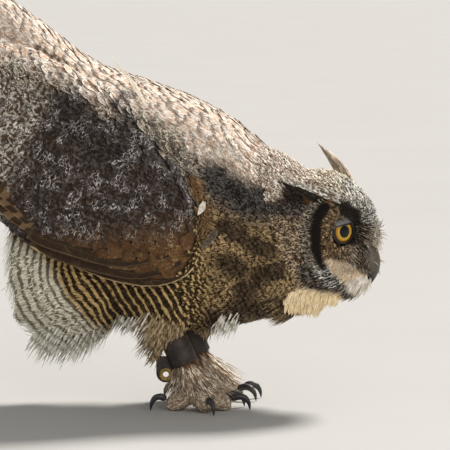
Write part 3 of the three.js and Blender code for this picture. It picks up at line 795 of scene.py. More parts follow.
class Coat:
    """Collects vanes, then makes them into pieces below the limit of triangles."""

    def __init__(self, name, slot, skin):
        self.name, self.slot, self.skin, self.batches = name, slot, skin, []

    def add(self, shape, spine, normal, width, lift, uv, tone, phase=None, tilt=0.0):
        """spine and normal are (vanes, rows, 3), tone (vanes, rows or 1, numbers). lift is (root, tip) in mm off
        the skin, and tilt what one edge is over the other."""
        n, rows, cols = len(spine), shape.rows, shape.cols
        t = np.linspace(0, 1, rows)[:, None]
        s = np.linspace(-1, 1, cols)
        reach = np.linalg.norm(np.diff(spine, axis=1), axis=2).sum(1)
        width, root, tip, reach = (a[:, None, None] for a in (width, *lift, reach))
        along = unit(np.gradient(spine, axis=1))
        across = unit(np.cross(normal, along))
        noise = RNG.random((2, n, rows, cols))
        half = shape.width(t) * (width / 2)
        x = s * half * (1 - shape.fray * noise[0] * (np.abs(s) > 0.99))
        y = -shape.round_tip * s**2 * t**3 * np.minimum(reach, width * 1.6)
        y = y - shape.fray * 0.35 * noise[1] * (t > 0.99) * np.minimum(reach, width)
        rise = root + (tip - root) * t**1.25 + shape.camber * half * (1 - s**2) + tilt * s
        points = sum(way[:, :, None] * far[..., None] for way, far in ((across, x), (along, y), (normal, rise)))
        points = points + spine[:, :, None]
        vane = np.stack(np.broadcast_arrays(s, t, RNG.random((n, 1, 1))), -1)
        flat = np.stack([x, y + t * reach, 97 * vane[..., 2]], -1)
        tone = tone[:, :, None]
        bar = tone[:, :1, 0, LENGTH:]
        if phase is None:
            phase = station(points.reshape(-1, 3)).reshape(n, rows, cols) / bar + RNG.random((n, 1, 1)) * 0.1
        else:
            phase = phase[:, None, None] + t * (reach / bar) - 0.10 * np.abs(s)
        place = np.stack(np.broadcast_arrays(s * 0.5, t - 0.5), -1)
        uv = uv[:, None, None] + place * PATCH
        kept = (points, tone, vane, phase[..., None], flat, uv)
        self.batches.append((shape, [np.broadcast_to(a, (n, rows, cols, a.shape[-1])) for a in kept]))

    def chunks(self):
        """Groups of batches, each below the limit, with long batches cut."""
        group, total = [], 0
        for shape, arrays in self.batches:
            each = int((shape.faces()[1] - 2).sum())
            start = 0
            while start < len(arrays[0]):
                room = (MOST_TRIANGLES - total) // each
                if room == 0:
                    yield group
                    group, total = [], 0
                    continue
                part = [a[start:start + room] for a in arrays]
                group.append((shape, part))
                total += len(part[0]) * each
                start += room
        yield group

    def make(self, material, *nodes):
        for number, group in enumerate(self.chunks()):
            corners, sizes, rims, offset = [], [], [], 0
            for shape, (points, *_) in group:
                face, size = shape.faces()
                n, k = len(points), shape.rows * shape.cols
                corners.append((face + offset + np.arange(n)[:, None] * k).ravel())
                sizes.append(np.tile(size, n))
                rims.append(np.tile(np.arange(shape.cols) % (shape.cols - 1) == 0, n * shape.rows))
                offset += n * k
            corners, sizes, rims = (np.concatenate(a) for a in (corners, sizes, rims))
            columns = zip(*(arrays for _, arrays in group))
            points, tone, vane, phase, flat, uv = (
                np.concatenate([a.reshape(-1, a.shape[-1]) for a in column]) for column in columns)
            ob = mesh_object(f"{self.name}_{number + 1}", points, corners, sizes)
            me = ob.data
            dress(me, tone, vane, phase[:, 0], flat)
            write_all(me.uv_layers.new(name="OFBake").uv, "vector", uv[corners])
            sharp = rims[read_all(me.edges, "vertices", 2, np.int32)].all(1)
            write_all(me.attributes.new("sharp_edge", "BOOLEAN", "EDGE").data, "value", sharp, bool)
            placed(ob, self.slot, material, *(nodes if number == 0 else ()))


# How far the feathers of one tract vary, and how deep their roots sit in mm.
VARY_LENGTH, VARY_WIDTH, VARY_LIFT, VARY_COLOUR = 0.18, 0.15, 0.35, 0.16
SUNK, STRAND_SUNK = -0.6, -0.4


def vary(n, spread):
    return 1 + spread * (2 * RNG.random(n) - 1)


def tinted(tones, spread):
    """Tones whose colours vary from vane to vane."""
    tones[..., :6] = np.clip(tones[..., :6] * vary(len(tones), spread)[:, None, None], 0, 1)
    return tones


def grow(coat, where, shape, spacing, length, width, lift, turn=6, tilt=0.0):
    """Covers one tract of the skin. length, width and lift are in mm; lift is how far the tip stands off."""
    roots, normals, uv, part = coat.skin.sample(where, spacing)
    n = len(roots)
    long = length * vary(n, VARY_LENGTH)
    turns = np.radians(turn) * (2 * RNG.random(n) - 1)
    spine, out = laid(coat.skin, roots, normals, part, long, shape.rows, turns)
    tones = paint_of(spine.reshape(-1, 3), np.repeat(part, shape.rows)).reshape(n, shape.rows, -1)
    tones = tinted(tones, VARY_COLOUR)
    wide, lifts = width * vary(n, VARY_WIDTH), (np.full(n, SUNK), lift * vary(n, VARY_LIFT))
    coat.add(shape, spine, out, wide, lifts, uv, tones, tilt=tilt)


def strands(coat, where, shape, spacing, reach, width, bow, tone, shade=0.2, tip=None):
    """Loose feathers that leave the skin. reach gives each one's tip from its root. tone may pass to tip."""
    roots, normals, uv, _ = coat.skin.sample(where, spacing)
    n = len(roots)
    tips = reach(roots)
    length = np.linalg.norm(tips - roots, axis=1)
    middle = (roots + tips) / 2 + normals * (bow * length)[:, None]
    t = np.linspace(0, 1, shape.rows)[None, :, None]
    spine = (1 - t) ** 2 * roots[:, None] + 2 * t * (1 - t) * middle[:, None] + t**2 * tips[:, None]
    along = unit(np.gradient(spine, axis=1))
    out = unit(normals[:, None] - dot(normals[:, None], along) * along)
    tones = np.tile(TONE_ROWS[tone], (n, shape.rows, 1))
    if tip:
        tones = tones + (TONE_ROWS[tip] - tones) * ease(0.4, 0.9, t)
    tones = tinted(tones, shade)
    coat.add(shape, spine, out, width * vary(n, 0.2), (np.full(n, STRAND_SUNK), np.zeros(n)), uv, tones)


def cast(tree, places):
    """Points of the near side's surface that show at places in the side view."""
    eye = AIM - VIEW_ALONG * VIEW_DISTANCE
    shown_at = np.array([[across - VIEW_MIDDLE, 0, 0] + VIEW_UP * (VIEW_MIDDLE - down) for across, down in places])
    ways = unit(shown_at + AIM - eye)
    hits = [tree.ray_cast(Vector(eye), Vector(way))[0] for way in ways]
    depths = np.array([(np.array(h) - eye) @ VIEW_ALONG if h else np.nan for h in hits])
    met = ~np.isnan(depths)
    depths = np.interp(np.arange(len(places)), np.flatnonzero(met), depths[met])
    return eye + ways * (depths / (ways @ VIEW_ALONG))[:, None]


def single(coat, shape, spines, width, lift, tone, face, bars=False, tilt=0.0, shade=0.1):
    """Lays chosen feathers along spines, given by a few points each, with their faces turned to face."""
    n = len(spines)
    t = np.linspace(0, 1, shape.rows)
    rows = np.stack([curve(spine, t) for spine in spines])
    along = unit(np.gradient(rows, axis=1))
    face = np.asarray(face, float) + 0 * rows
    normal = unit(face - dot(face, along) * along)
    uv = coat.skin.near(rows[:, shape.rows // 2])
    tones = tinted(np.tile(TONE_ROWS[tone], (n, 1, 1)), shade)
    phase = RNG.random(n) if bars else None
    coat.add(shape, rows, normal, np.full(n, width), [np.full(n, a) for a in lift], uv, tones, phase, tilt)


# ---- materials

RELIEF = 0.0004


class Nodes:
    """A short way to write a node tree."""

    def __init__(self, name):
        self.material = bpy.data.materials.new(name)
        self.material.use_nodes = True
        self.tree = self.material.node_tree
        self.shader = self.tree.nodes["Principled BSDF"]

    def link(self, source, socket):
        if isinstance(source, (int, float)):
            socket.default_value = source
        elif isinstance(source, tuple):
            socket.default_value = (*source, 1)[:len(socket.default_value)]
        else:
            self.tree.links.new(source, socket)

    def node(self, kind, inputs=(), out=0, **settings):
        made = tuned(self.tree.nodes.new("ShaderNode" + kind), **settings)
        for key, value in dict(inputs).items():
            self.link(value, made.inputs[key])
        return made.outputs[out]

    def math(self, operation, *values, clamp=False):
        return self.node("Math", enumerate(values), operation=operation, use_clamp=clamp)

    def vector(self, operation, *values):
        return self.node("VectorMath", enumerate(values), operation=operation)

    def mix(self, share, a, b, blend="MIX"):
        return self.node("Mix", {0: share, 6: a, 7: b}, out=2, data_type="RGBA", blend_type=blend)

    def noise(self, at, scale, detail=2.0, rough=0.5, warp=0.0):
        return self.node("TexNoise", {"Vector": at, "Scale": scale, "Detail": detail, "Roughness": rough,
                                      "Distortion": warp})

    def step(self, low, high, value):
        return self.node("MapRange", {0: value, 1: low, 2: high}, interpolation_type="SMOOTHSTEP")

    def read(self, name, out="Vector"):
        return self.node("Attribute", out=out, attribute_name=name)

    def split(self, vector):
        return self.node("SeparateXYZ", {0: vector}, out=slice(0, 3))

    def place(self):
        """The point on the object, in millimetres."""
        return self.node("VectorMath", {0: self.node("TexCoord", out="Object"), "Scale": 1000}, operation="SCALE")

    def finish(self, colour, rough, bump=None, strength=0, **constants):
        ends = {"Base Color": colour, "Roughness": rough}
        ends.update((key.replace("_", " "), value) for key, value in constants.items())
        if bump is not None:
            relief = {"Height": bump, "Strength": strength, "Distance": RELIEF}
            ends["Normal"] = self.node("Bump", relief, out="Normal")
        for key, value in ends.items():
            self.link(value, self.shader.inputs[key])
        return self.material


def plumage(name, thread=0.34, speck=0.34, streak=1.0, shaft=0.0, clump=0.34, run=(0.55, 1.0)):
    """Feather: two colours mixed by bars, fine threads and specks that the mesh carries, with barbs and a shaft."""
    g = Nodes(name)
    s, t, key = g.split(g.read("vane"))
    across, along, own_key = g.split(g.read("flat"))
    passed, share, waver = g.split(g.read("lie"))
    bars, threads, specks = g.split(g.read("marks", "Color"))
    edge = g.read("marks", "Alpha")
    at = g.place()
    wave = g.math("MULTIPLY", g.math("SUBTRACT", g.noise(at, 0.07, 2.0), 0.5), g.math("MULTIPLY", waver, 6.0))
    turns = g.math("ADD", g.math("MULTIPLY", passed, 2 * math.pi), wave)
    ridge = g.math("MULTIPLY_ADD", g.math("SINE", turns), 0.5, 0.5)
    barred = g.step(g.math("SUBTRACT", 0.85, share), g.math("SUBTRACT", 1.15, share), ridge)

    def on_vane(wide, long):
        return g.node("CombineXYZ", {0: g.math("MULTIPLY", across, wide), 1: g.math("MULTIPLY", along, long),
                                     2: own_key})

    worm = g.noise(on_vane(*run), thread, 1.0, 0.5, 0.6)
    line = g.math("SUBTRACT", 1.0, g.step(0.012, 0.045, g.math("ABSOLUTE", g.math("SUBTRACT", worm, 0.5))))
    patch = g.step(clump, clump + 0.14, g.noise(at, 0.075, 2.0))
    line = g.math("MULTIPLY", line, g.math("MULTIPLY", patch, g.step(0.15, 0.6, t)))
    dotted = g.step(0.50, 0.60, g.noise(on_vane(max(run[0], 0.8), min(run[1], 0.8)), speck, 2.0, 0.6))
    side = g.step(0.72, 1.0, g.math("ABSOLUTE", s))
    rim = g.math("MULTIPLY", g.math("MAXIMUM", side, g.step(0.88, 1.0, t)), edge)
    mask = g.math("MULTIPLY", barred, bars)
    mask = g.math("ADD", mask, g.math("MULTIPLY", line, threads))
    mask = g.math("ADD", mask, g.math("MULTIPLY", dotted, specks))
    mask = g.math("ADD", mask, rim, clamp=True)
    colour = g.mix(mask, g.read("dark", "Color"), g.read("pale", "Color"))
    slant = g.math("SUBTRACT", along, g.math("MULTIPLY", g.math("ABSOLUTE", across), 0.9))
    fine = {0: g.math("MULTIPLY", across, 0.12), 1: g.math("MULTIPLY", slant, 1.3), 2: own_key}
    barbs = g.noise(g.node("CombineXYZ", fine), 1.0, 3.0, 0.6)
    shade = g.math("MULTIPLY_ADD", g.math("SUBTRACT", barbs, 0.5), 0.8 * streak, 1.0)
    if shaft:
        rib = g.math("SUBTRACT", 1.0, g.step(0.03, 0.09, g.math("ABSOLUTE", s)))
        colour = g.mix(g.math("MULTIPLY", rib, shaft), colour, (0.30, 0.20, 0.11))
    grey = g.node("CombineColor", {0: shade, 1: shade, 2: shade})
    colour = g.mix(1.0, colour, grey, "MULTIPLY")
    return g.finish(colour, g.math("MULTIPLY_ADD", barbs, 0.2, 0.62), barbs, 0.3,
                    Specular_IOR_Level=0.12, Sheen_Weight=0.03, Sheen_Roughness=0.5)


def horn(name, base, tip, low, high):
    """Bill or claw: base colour to tip colour between two heights, with faint growth lines."""
    g = Nodes(name)
    at = g.place()
    grain = g.noise(g.vector("MULTIPLY", at, (0.25, 0.25, 1.6)), 0.9, 4.0, 0.6)
    share = g.step(low, high, g.math("MULTIPLY_ADD", grain, 4.0, g.split(at)[2]))
    colour = g.mix(share, tip, base)
    colour = g.mix(g.step(0.35, 0.75, grain), g.mix(0.65, colour, (0, 0, 0)), colour)
    rough = g.math("MULTIPLY_ADD", grain, 0.25, 0.28)
    return g.finish(colour, rough, grain, 0.25, Coat_Weight=0.12, Coat_Roughness=0.25)


def leather(name):
    g = Nodes(name)
    at = g.place()
    patches = g.noise(at, 0.12, 3.0)
    pores = g.noise(at, 2.2, 3.0, 0.65)
    colour = g.mix(g.step(0.35, 0.7, patches), (0.018, 0.012, 0.009), (0.055, 0.035, 0.024))
    colour = g.mix(g.step(0.6, 0.8, pores), colour, (0.14, 0.10, 0.075))
    return g.finish(colour, g.math("MULTIPLY_ADD", pores, 0.3, 0.42), pores, 0.5)


def brass(name):
    g = Nodes(name)
    at = g.place()
    tarnish = g.noise(at, 0.5, 4.0, 0.65)
    colour = g.mix(g.step(0.4, 0.7, tarnish), (0.34, 0.23, 0.08), (0.13, 0.09, 0.04))
    return g.finish(colour, g.math("MULTIPLY_ADD", tarnish, 0.3, 0.30), tarnish, 0.1, Metallic=1.0)


def floor_paint(name):
    g = Nodes(name)
    cloud = g.noise(g.node("TexCoord", out="Object"), 3.0, 4.0)
    return g.finish(g.mix(cloud, (0.49, 0.485, 0.475), (0.53, 0.525, 0.515)), 0.8, Specular_IOR_Level=0.2)


def eye_paint(name):
    """Iris of fine spokes, darker at its rim and round the pupil, from two numbers kept on the ball's points."""
    g = Nodes(name)
    radius, spoke, _ = g.split(g.read("iris"))
    at = g.node("CombineXYZ", {0: g.math("MULTIPLY", spoke, 9.0), 1: g.math("MULTIPLY", radius, 0.35)})
    fibre = g.noise(at, 4.0, 3.0, 0.6)
    gold = g.mix(g.step(0.3, 0.7, fibre), (0.46, 0.25, 0.018), (0.66, 0.44, 0.055))
    gold = g.mix(g.step(IRIS_RADIUS - 3.0, IRIS_RADIUS - 0.3, radius), gold, (0.34, 0.13, 0.006))
    gold = g.mix(g.step(IRIS_RADIUS - 0.5, IRIS_RADIUS + 0.2, radius), gold, (0.006, 0.005, 0.005))
    colour = g.mix(g.step(PUPIL_RADIUS - 0.2, PUPIL_RADIUS + 0.5, radius), (0.003, 0.003, 0.004), gold)
    return g.finish(colour, 0.25, Specular_IOR_Level=0.1, Coat_Weight=0.5, Coat_Roughness=0.03, Coat_IOR=1.376)


def lid_paint(name):
    """Bare lid: blue-grey above, black along its edge and below."""
    g = Nodes(name)
    across, height, _ = g.split(g.read("lid"))
    wrinkle = g.noise(g.vector("MULTIPLY", g.place(), (0.5, 0.5, 2.2)), 1.0, 3.0)
    skin = g.mix(wrinkle, (0.11, 0.105, 0.10), (0.32, 0.30, 0.28))
    colour = g.mix(g.step(2.2, 3.4, across), (0.006, 0.005, 0.005), (0.050, 0.034, 0.022))
    colour = g.mix(g.math("MULTIPLY", g.step(1.0, 2.0, across), g.step(1.0, 3.5, height)), colour, skin)
    return g.finish(colour, 0.42, wrinkle, 0.4)


# ---- eyes and lids

BALL_RINGS = 40
BALL_SPOKES = 64
BALL_SHARE = 0.99
LID_GAP = 0.5
LID_SHEET = 0.5
LID_REACH = 0.985
LID_TOP = 6.2
LID_TILT = math.radians(8)
LID_SPOKES = 72
# The lid's section, from its edge outwards: mm along the ball, mm off it, and mm back into the head.
LID_STEPS = [(0.0, -0.45, 0), (0.05, 0.25, 0), (0.5, 0.9, 0), (1.6, 0.765, 0), (3.2, 0.945, 0), (5.0, 0.81, 0),
             (5.0, 0.36, 3.0), (5.0, 0.36, 7.0)]


def ball_axes(look, side):
    """Across (towards the bill), up, and the look, as the rows of a frame at the eye."""
    up = np.array([0.0, 0.0, 1.0])
    across = np.cross(look, up) * -SIDES[side]
    return unit(across), up, look


def about(centre, axes, off, deep, turn):
    """The point off the eye's axis by off at turn (from across, towards up), and deep along the look."""
    across, up, look = axes
    off_axis = across * (off * np.cos(turn))[:, None] + up * (off * np.sin(turn))[:, None]
    return centre + off_axis + look * deep[:, None]


def tube(name, points, cols, flip=False, capped=True):
    """A mesh object from rings of cols points each, turned inside out by flip, with its ends closed if capped."""
    at = np.arange(len(points)).reshape(-1, cols)
    after = np.roll(at, -1, 1)
    faces = [*np.stack([at[:-1], after[:-1], after[1:], at[1:]], -1).reshape(-1, 4)]
    if capped:
        faces += [at[0, ::-1], at[-1]]
    if flip:
        faces = [face[::-1] for face in faces]
    return mesh_object(name, points, np.concatenate(faces), [len(face) for face in faces])


def make_eye(side, material):
    centre, radius, look = eye_ball(side)
    polar = np.repeat(np.linspace(0.02, math.pi - 0.02, BALL_RINGS), BALL_SPOKES)
    turn = np.tile(np.arange(BALL_SPOKES) * 2 * math.pi / BALL_SPOKES, BALL_RINGS)
    ball = radius * BALL_SHARE
    off, deep = ball * np.sin(polar), ball * np.cos(polar)
    front = (polar < math.pi / 2) & (off < IRIS_RADIUS)
    deep[front] = math.sqrt(ball**2 - IRIS_RADIUS**2) + IRIS_BULGE * (1 - (off[front] / IRIS_RADIUS) ** 2)
    points = about(centre, ball_axes(look, side), off, deep, turn)
    ob = tube(f"eyeball_{side}", points, BALL_SPOKES, SIDES[side] > 0)
    reach = np.where(polar < math.pi / 2, radius * np.sin(polar), radius)
    attribute(ob.data, "iris", np.stack([reach, turn, 0 * turn], 1))
    placed(ob, "eye", material, f"eye_{side}")


def lid_opening(turn):
    """How far the lids' edge lies from the eye's axis, at each turn."""
    above = np.sin(turn + LID_TILT)
    top = np.where(above > 0.05, LID_TOP / np.maximum(above, 0.05), 99)
    full = IRIS_RADIUS - 0.1 + 0.5 * np.cos(turn) ** 2
    return np.minimum(top, full)


def make_lids(side, material):
    centre, radius, look = eye_ball(side)
    axes = ball_axes(look, side)
    turn = np.arange(LID_SPOKES) * 2 * math.pi / LID_SPOKES
    edge = lid_opening(turn)
    out = radius + LID_GAP
    narrow = 0.62 + np.sin(turn) * np.where(np.sin(turn) > 0, 0.80, 0.24)
    rows = []
    for further, rise, back in LID_STEPS:
        reach = np.minimum(edge + further * narrow, out * LID_REACH)
        rows.append(about(centre, axes, reach, np.sqrt((out + rise) ** 2 - reach**2) - back, turn))
    points = np.concatenate(rows)
    ob = tube(f"eyelids_{side}", points, LID_SPOKES, SIDES[side] > 0, capped=False)
    height = dot(points - centre, axes[1])[:, 0] - np.tile(edge * np.sin(turn), len(rows)) * 0.35
    away = np.repeat([further + back for further, _, back in LID_STEPS], LID_SPOKES)
    attribute(ob.data, "lid", np.stack([away, height, 0 * height], 1))
    tuned(ob.modifiers.new("thickness", "SOLIDIFY"), thickness=LID_SHEET * MM, offset=-1)
    placed(applied(ob, f"eyelids_{side}_skin"), "plumage_head", material)


# ---- bill

CULMEN = [(33, -6), (46, -6), (55.5, -11.5), (60.6, -20), (61.9, -29), (60.0, -37.5), (56.4, -44.4), (52.9, -49.2)]
TOMIUM = [(33, -33), (39, -36.5), (44.5, -39), (48.5, -40.5), (51.5, -41.6), (53.0, -43.4), (53.0, -46.4),
          (52.3, -49.4)]
UPPER_HALF = [11, 11, 10.2, 8.6, 6.6, 4.4, 2.4, 0.5]
LOWER_TOP = [(33, -36), (41, -39.5), (46, -41.5), (50.4, -43.4)]
LOWER_KEEL = [(33, -43), (41, -46), (46, -47), (50.6, -45)]
LOWER_HALF = [8, 7.4, 5.4, 1.0]


def horn_form(name, top, low, half, ridge):
    """A closed form between a top and a low outline in the head's mid-plane. ridge sharpens its upper edge."""
    rings, spokes = 40, 28
    t = np.linspace(0, 1, rings)
    high, deep = curve(top, t), curve(low, t)
    wide = curve([(h, 0) for h in half], t)[:, :1]
    turn = np.arange(spokes) * 2 * math.pi / spokes
    c, s = np.cos(turn), np.sin(turn)
    across = np.sign(c) * np.abs(c) ** np.where(s > 0, ridge, 0.8)
    middle, rise = (high + deep) / 2, (high - deep) / 2
    flat = middle[:, None] + rise[:, None] * s[:, None]
    points = np.stack([flat[..., 0], wide * across, flat[..., 1]], -1)
    return tube(name, head_plan(points.reshape(-1, 3)), spokes)


# ---- horn, leather and brass from their solids


def softened(name, node, crease=None):
    """A rounder copy of a CAD solid: smoothed as a whole, or with only its edges bevelled, crease mm wide."""
    ob = linked(name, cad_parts[node].data.copy())
    tuned(ob.modifiers.new("weld", "WELD"), merge_threshold=0.00002)
    if crease:
        tuned(ob.modifiers.new("bevel", "BEVEL"), width=crease * MM, segments=2, limit_method="ANGLE")
    else:
        tuned(ob.modifiers.new("soft", "SUBSURF"), levels=2, render_levels=2)
    made = applied(ob, name)
    write_all(made.data.polygons, "use_smooth", np.ones(len(made.data.polygons)), bool)
    return made


# ---- the coat, tract by tract

QUILL_ROOTS = [(100, 84, 156), (116, 82, 194), (122, 70, 236)]
QUILL_TIPS = [(-98, 45, 346), (-84, 41, 368), (-62, 34, 390), (-34, 24, 412)]
QUILLS = 13
TAIL_ROOT = np.array([66.0, 0.0, 284.0])
TAIL_TIP = np.array([-118.0, 0.0, 406.0])
TAIL_FEATHERS = 12

# Long feathers along the folded wing's edges, as the side view shows them. Each group has its lift, its tilt,
# whether it is barred, and its feathers' lines, widths and tones.
EDGE_FEATHERS = [
    ((-1.6, 1.6), 0.6, False, [
        ([(199, 254), (193, 268), (178, 279.5), (150, 285.5), (112, 279.5), (74, 266), (46, 254), (30, 246)],
         3.2, "hem"),
        ([(196, 255), (190, 267), (176, 277), (150, 282), (112, 276), (74, 262), (42, 248)], 9.0, "edge"),
        ([(180, 262), (140, 274), (88, 262), (52, 250), (32, 238)], 16.0, "edge_inner"),
        ([(168, 254), (120, 262), (72, 248), (42, 238), (28, 231)], 16.0, "edge_inner")]),
    ((-1.0, 2.4), 0.8, True, [
        ([(38, 236), (18, 220), (-6, 196), (-34, 160)], 13.0, "primary"),
        ([(32, 226), (12, 207), (-12, 182), (-40, 146)], 13.0, "primary"),
        ([(26, 214), (6, 194), (-18, 168), (-44, 132)], 13.0, "primary")]),
]
# Shafts that stand off the near side's back, and two feathers in the gap before the wing: with their face.
ODD_FEATHERS = [
    ([(147, 108), (130, 82), (111, 57)], 3.6, (1.5, 1.0), "shaft", (0.3, -1, 0.5)),
    ([(146, 104), (134, 84), (122, 66)], 2.4, (1.5, 1.0), "shaft", (0.3, -1, 0.5)),
    ([(204, 202), (201, 209), (196, 217)], 7.0, (1.5, 3.0), "gap_white", (0.2, -1, 0.2)),
    ([(217, 229), (210, 239), (201, 249)], 8.0, (1.0, 2.0), "gap_dark", (0.2, -1, 0.2)),
]
# Ear tufts by side: line in the head's frame, count, spread, tones of the low and the high side, face.
TUFTS = {
    # painted light: the far tuft is painted pale, as if lit through from behind
    1: ([(15, 26, 34), (9, 33, 51), (-6, 39, 70), (-26, 46, 86)], 44, 27.0, ("tuft_far_lit", "tuft_far_lit"),
        (0.45, -0.6, 0.66)),
    # the near tuft's low side: its own dark colour, with painted shade
    -1: ([(32, -33, 30), (12, -46, 41), (-8, -52, 49), (-31, -57, 56)], 60, 21.0, ("tuft", "tuft_pale"), None),
}


def flight_feathers(coat):
    share = np.linspace(0, 1, QUILLS)
    roots, tips = curve(QUILL_ROOTS, share), curve(QUILL_TIPS, share)
    for sign in SIDES.values():
        spines = []
        for k, (root, tip) in enumerate(zip(roots, tips)):
            sag = np.array([0.0, 0.0, -(17 - 13 * share[k])])
            over = np.array([0.0, 0.45 * k - 3.0, 0.0])
            spine = np.array([root, (root + tip) / 2 + sag, root + (tip - root) * 0.8 + sag * 0.6, tip]) + over
            spines.append(spine * [1, sign, 1])
        single(coat, QUILL, spines, 30.0, (0.0, 0.0), "quill", (0.0, sign, 0.25), bars=True, tilt=-0.5 * sign)


def tail_feathers(coat):
    spines = []
    for side in np.linspace(-1, 1, TAIL_FEATHERS):
        high = 2.4 * (1 - abs(side))
        root = TAIL_ROOT + [0, 18 * side, high]
        tip = TAIL_TIP + [6 * abs(side), 32 * side, high - 5 * abs(side)]
        spines.append([root, (root + tip) / 2 + [0, 0, 4], tip])
    single(coat, QUILL, spines, 34.0, (0.0, 0.0), "rectrix", (0.55, 0, 0.83), bars=True)


def edge_feathers(coat):
    tree = tree_of(*joined_nodes(["wing_right", "flight_feathers_right", "breast", "rump"])[:2])
    for lift, tilt, barred, feathers in EDGE_FEATHERS:
        for places, width, tone in feathers:
            spine = cast(tree, places)
            for sign in SIDES.values():
                mine = [spine * [1, -sign, 1]]
                single(coat, QUILL, mine, width, lift, tone, (0, sign, 0.1), barred, tilt * sign)
    for places, width, lift, tone, face in ODD_FEATHERS:
        single(coat, BLADE, [cast(tree, places)], width, lift, tone, face)


def ear_tufts(coat):
    for sign, (line, count, spread, tones, face) in TUFTS.items():
        line = np.array(line, float)
        way = unit(line[-1] - line[0])
        out = unit(np.cross(way, [0.0, 0.0, 1.0]))
        out = out * (1 if out[1] * sign > 0 else -1)
        side = unit(np.cross(out, way))
        side = side * (1 if side[2] > 0 else -1)
        groups = {tone: [] for tone in tones}
        for k in range(count):
            place = 2 * (k + 0.5) / count - 1
            start = 0.5 * RNG.random() ** 1.4
            stop = min(1, start + 0.45 + 0.25 * RNG.random()) - 0.16 * abs(place)
            t = start + (stop - start) * np.linspace(0, 1, 4)
            taper = (1 - t[:, None]) ** 0.8
            shift = side * (place * spread * 0.5) * taper + out * (RNG.random() * 3) * taper
            groups[tones[int(place > 0.05)]].append(head_plan(curve(line, t) + shift))
        face = out @ HEAD_AXES if face is None else face
        for tone, spines in groups.items():
            single(coat, BLADE, spines, 3.4, (0.0, 0.6), tone, face, shade=0.45)


def shown(skin, places, half):
    """Where the skin shows within half of a broken line in the side view."""
    return stroke(*seen(skin.points), places, half, 0.01) > 0.5


def face_bristles(coat, lores):
    """Stiff feathers from between eye and bill, which sweep forward and down over the bill's sides."""
    def reach(roots):
        local = head_local(roots)
        n = len(local)
        low = ease(8, -12, local[:, 2])
        local[:, 0] += (62 - local[:, 0]) * (0.55 + 0.35 * RNG.random(n)) * (1 - 0.35 * low)
        local[:, 1] = np.sign(local[:, 1]) * np.maximum(np.abs(local[:, 1]) * 0.62, 9.5)
        local[:, 2] -= 1 + 13 * low + 5 * RNG.random(n)
        return head_plan(local)
    strands(coat, lores, BRISTLE, 1.2, reach, 0.9, 0.10, "bristle", shade=0.7, tip="bristle_tip")
    strands(coat, lores, BRISTLE, 2.1, reach, 1.0, 0.11, "bristle_dark", shade=0.3)


def far_bristles(coat, lores):
    """White bristles that curl out past the culmen."""
    def reach(roots):
        local = head_local(roots)
        n = len(local)
        local[:, 0] = 66.5 - 4 * RNG.random(n)
        local[:, 1] = np.sign(local[:, 1]) * (3 + 9 * RNG.random(n))
        local[:, 2] -= 1 + 8 * RNG.random(n)
        return head_plan(local)
    strands(coat, lores, BRISTLE, 1.3, reach, 1.1, 0.16, "bristle_pale", shade=0.2)


def drifting(*ranges):
    """A reach that drifts one way, by x, y, z and length: each its least value and how far it varies."""
    def reach(roots):
        n = len(roots)
        x, y, z, length = (low + spread * RNG.random(n) if spread else np.full(n, low) for low, spread in ranges)
        return roots + unit(np.stack([x, y, z], 1)) * length[:, None]
    return reach


def hanging(length, slant=0.6):
    """The reach of feathers that hang back and down, of a length that varies by half."""
    return drifting((-slant - 0.25, 0.5), (-0.15, 0.3), (-0.9, 0.2), (0.7 * length, 0.6 * length))

FOOT_MIDDLE = {-1: (199.0, -40.0), 1: (211.0, 37.0)}
SHANK_LEAN = 0.42


def shank_axis(roots):
    """The middle of the foot, and of the shank, at each root."""
    foot = np.array([FOOT_MIDDLE[-1 if y < 0 else 1] for y in roots[:, 1]])
    return foot, foot - np.stack([2 + SHANK_LEAN * (roots[:, 2] - 18), 0 * roots[:, 2]], 1)


def foot_skirts(coat, shank):
    """The shank's lowest feathers flare over the toes as a cone."""
    def reach(roots):
        n = len(roots)
        foot, shank_middle = shank_axis(roots)
        out = unit(roots[:, :2] - shank_middle + 5 * (RNG.random((n, 2)) - 0.5))
        wide = 19 + 15 * np.maximum(out[:, 0], 0) + 12 * np.maximum(-out[:, 0], 0)
        tip = foot + out * (wide * (0.6 + 0.6 * RNG.random(n)))[:, None]
        return np.column_stack([tip, 9 + 16 * RNG.random(n)])
    strands(coat, shank, WISP, 1.4, reach, 2.6, 0.0, "foot", shade=0.35)


def garter_feathers(coat, where):
    """Short rusty feathers that show below the leather."""
    down = drifting((0.4, 0.3), (-0.25, 0.5), (-0.9, 0), (6, 4))

    def reach(roots):
        return down(roots) + 2.5 * np.array([coat.skin.tree.find_nearest(Vector(p))[1] for p in roots])
    strands(coat, where, WISP, 1.6, reach, 2.0, 0.1, "garter", shade=0.4)


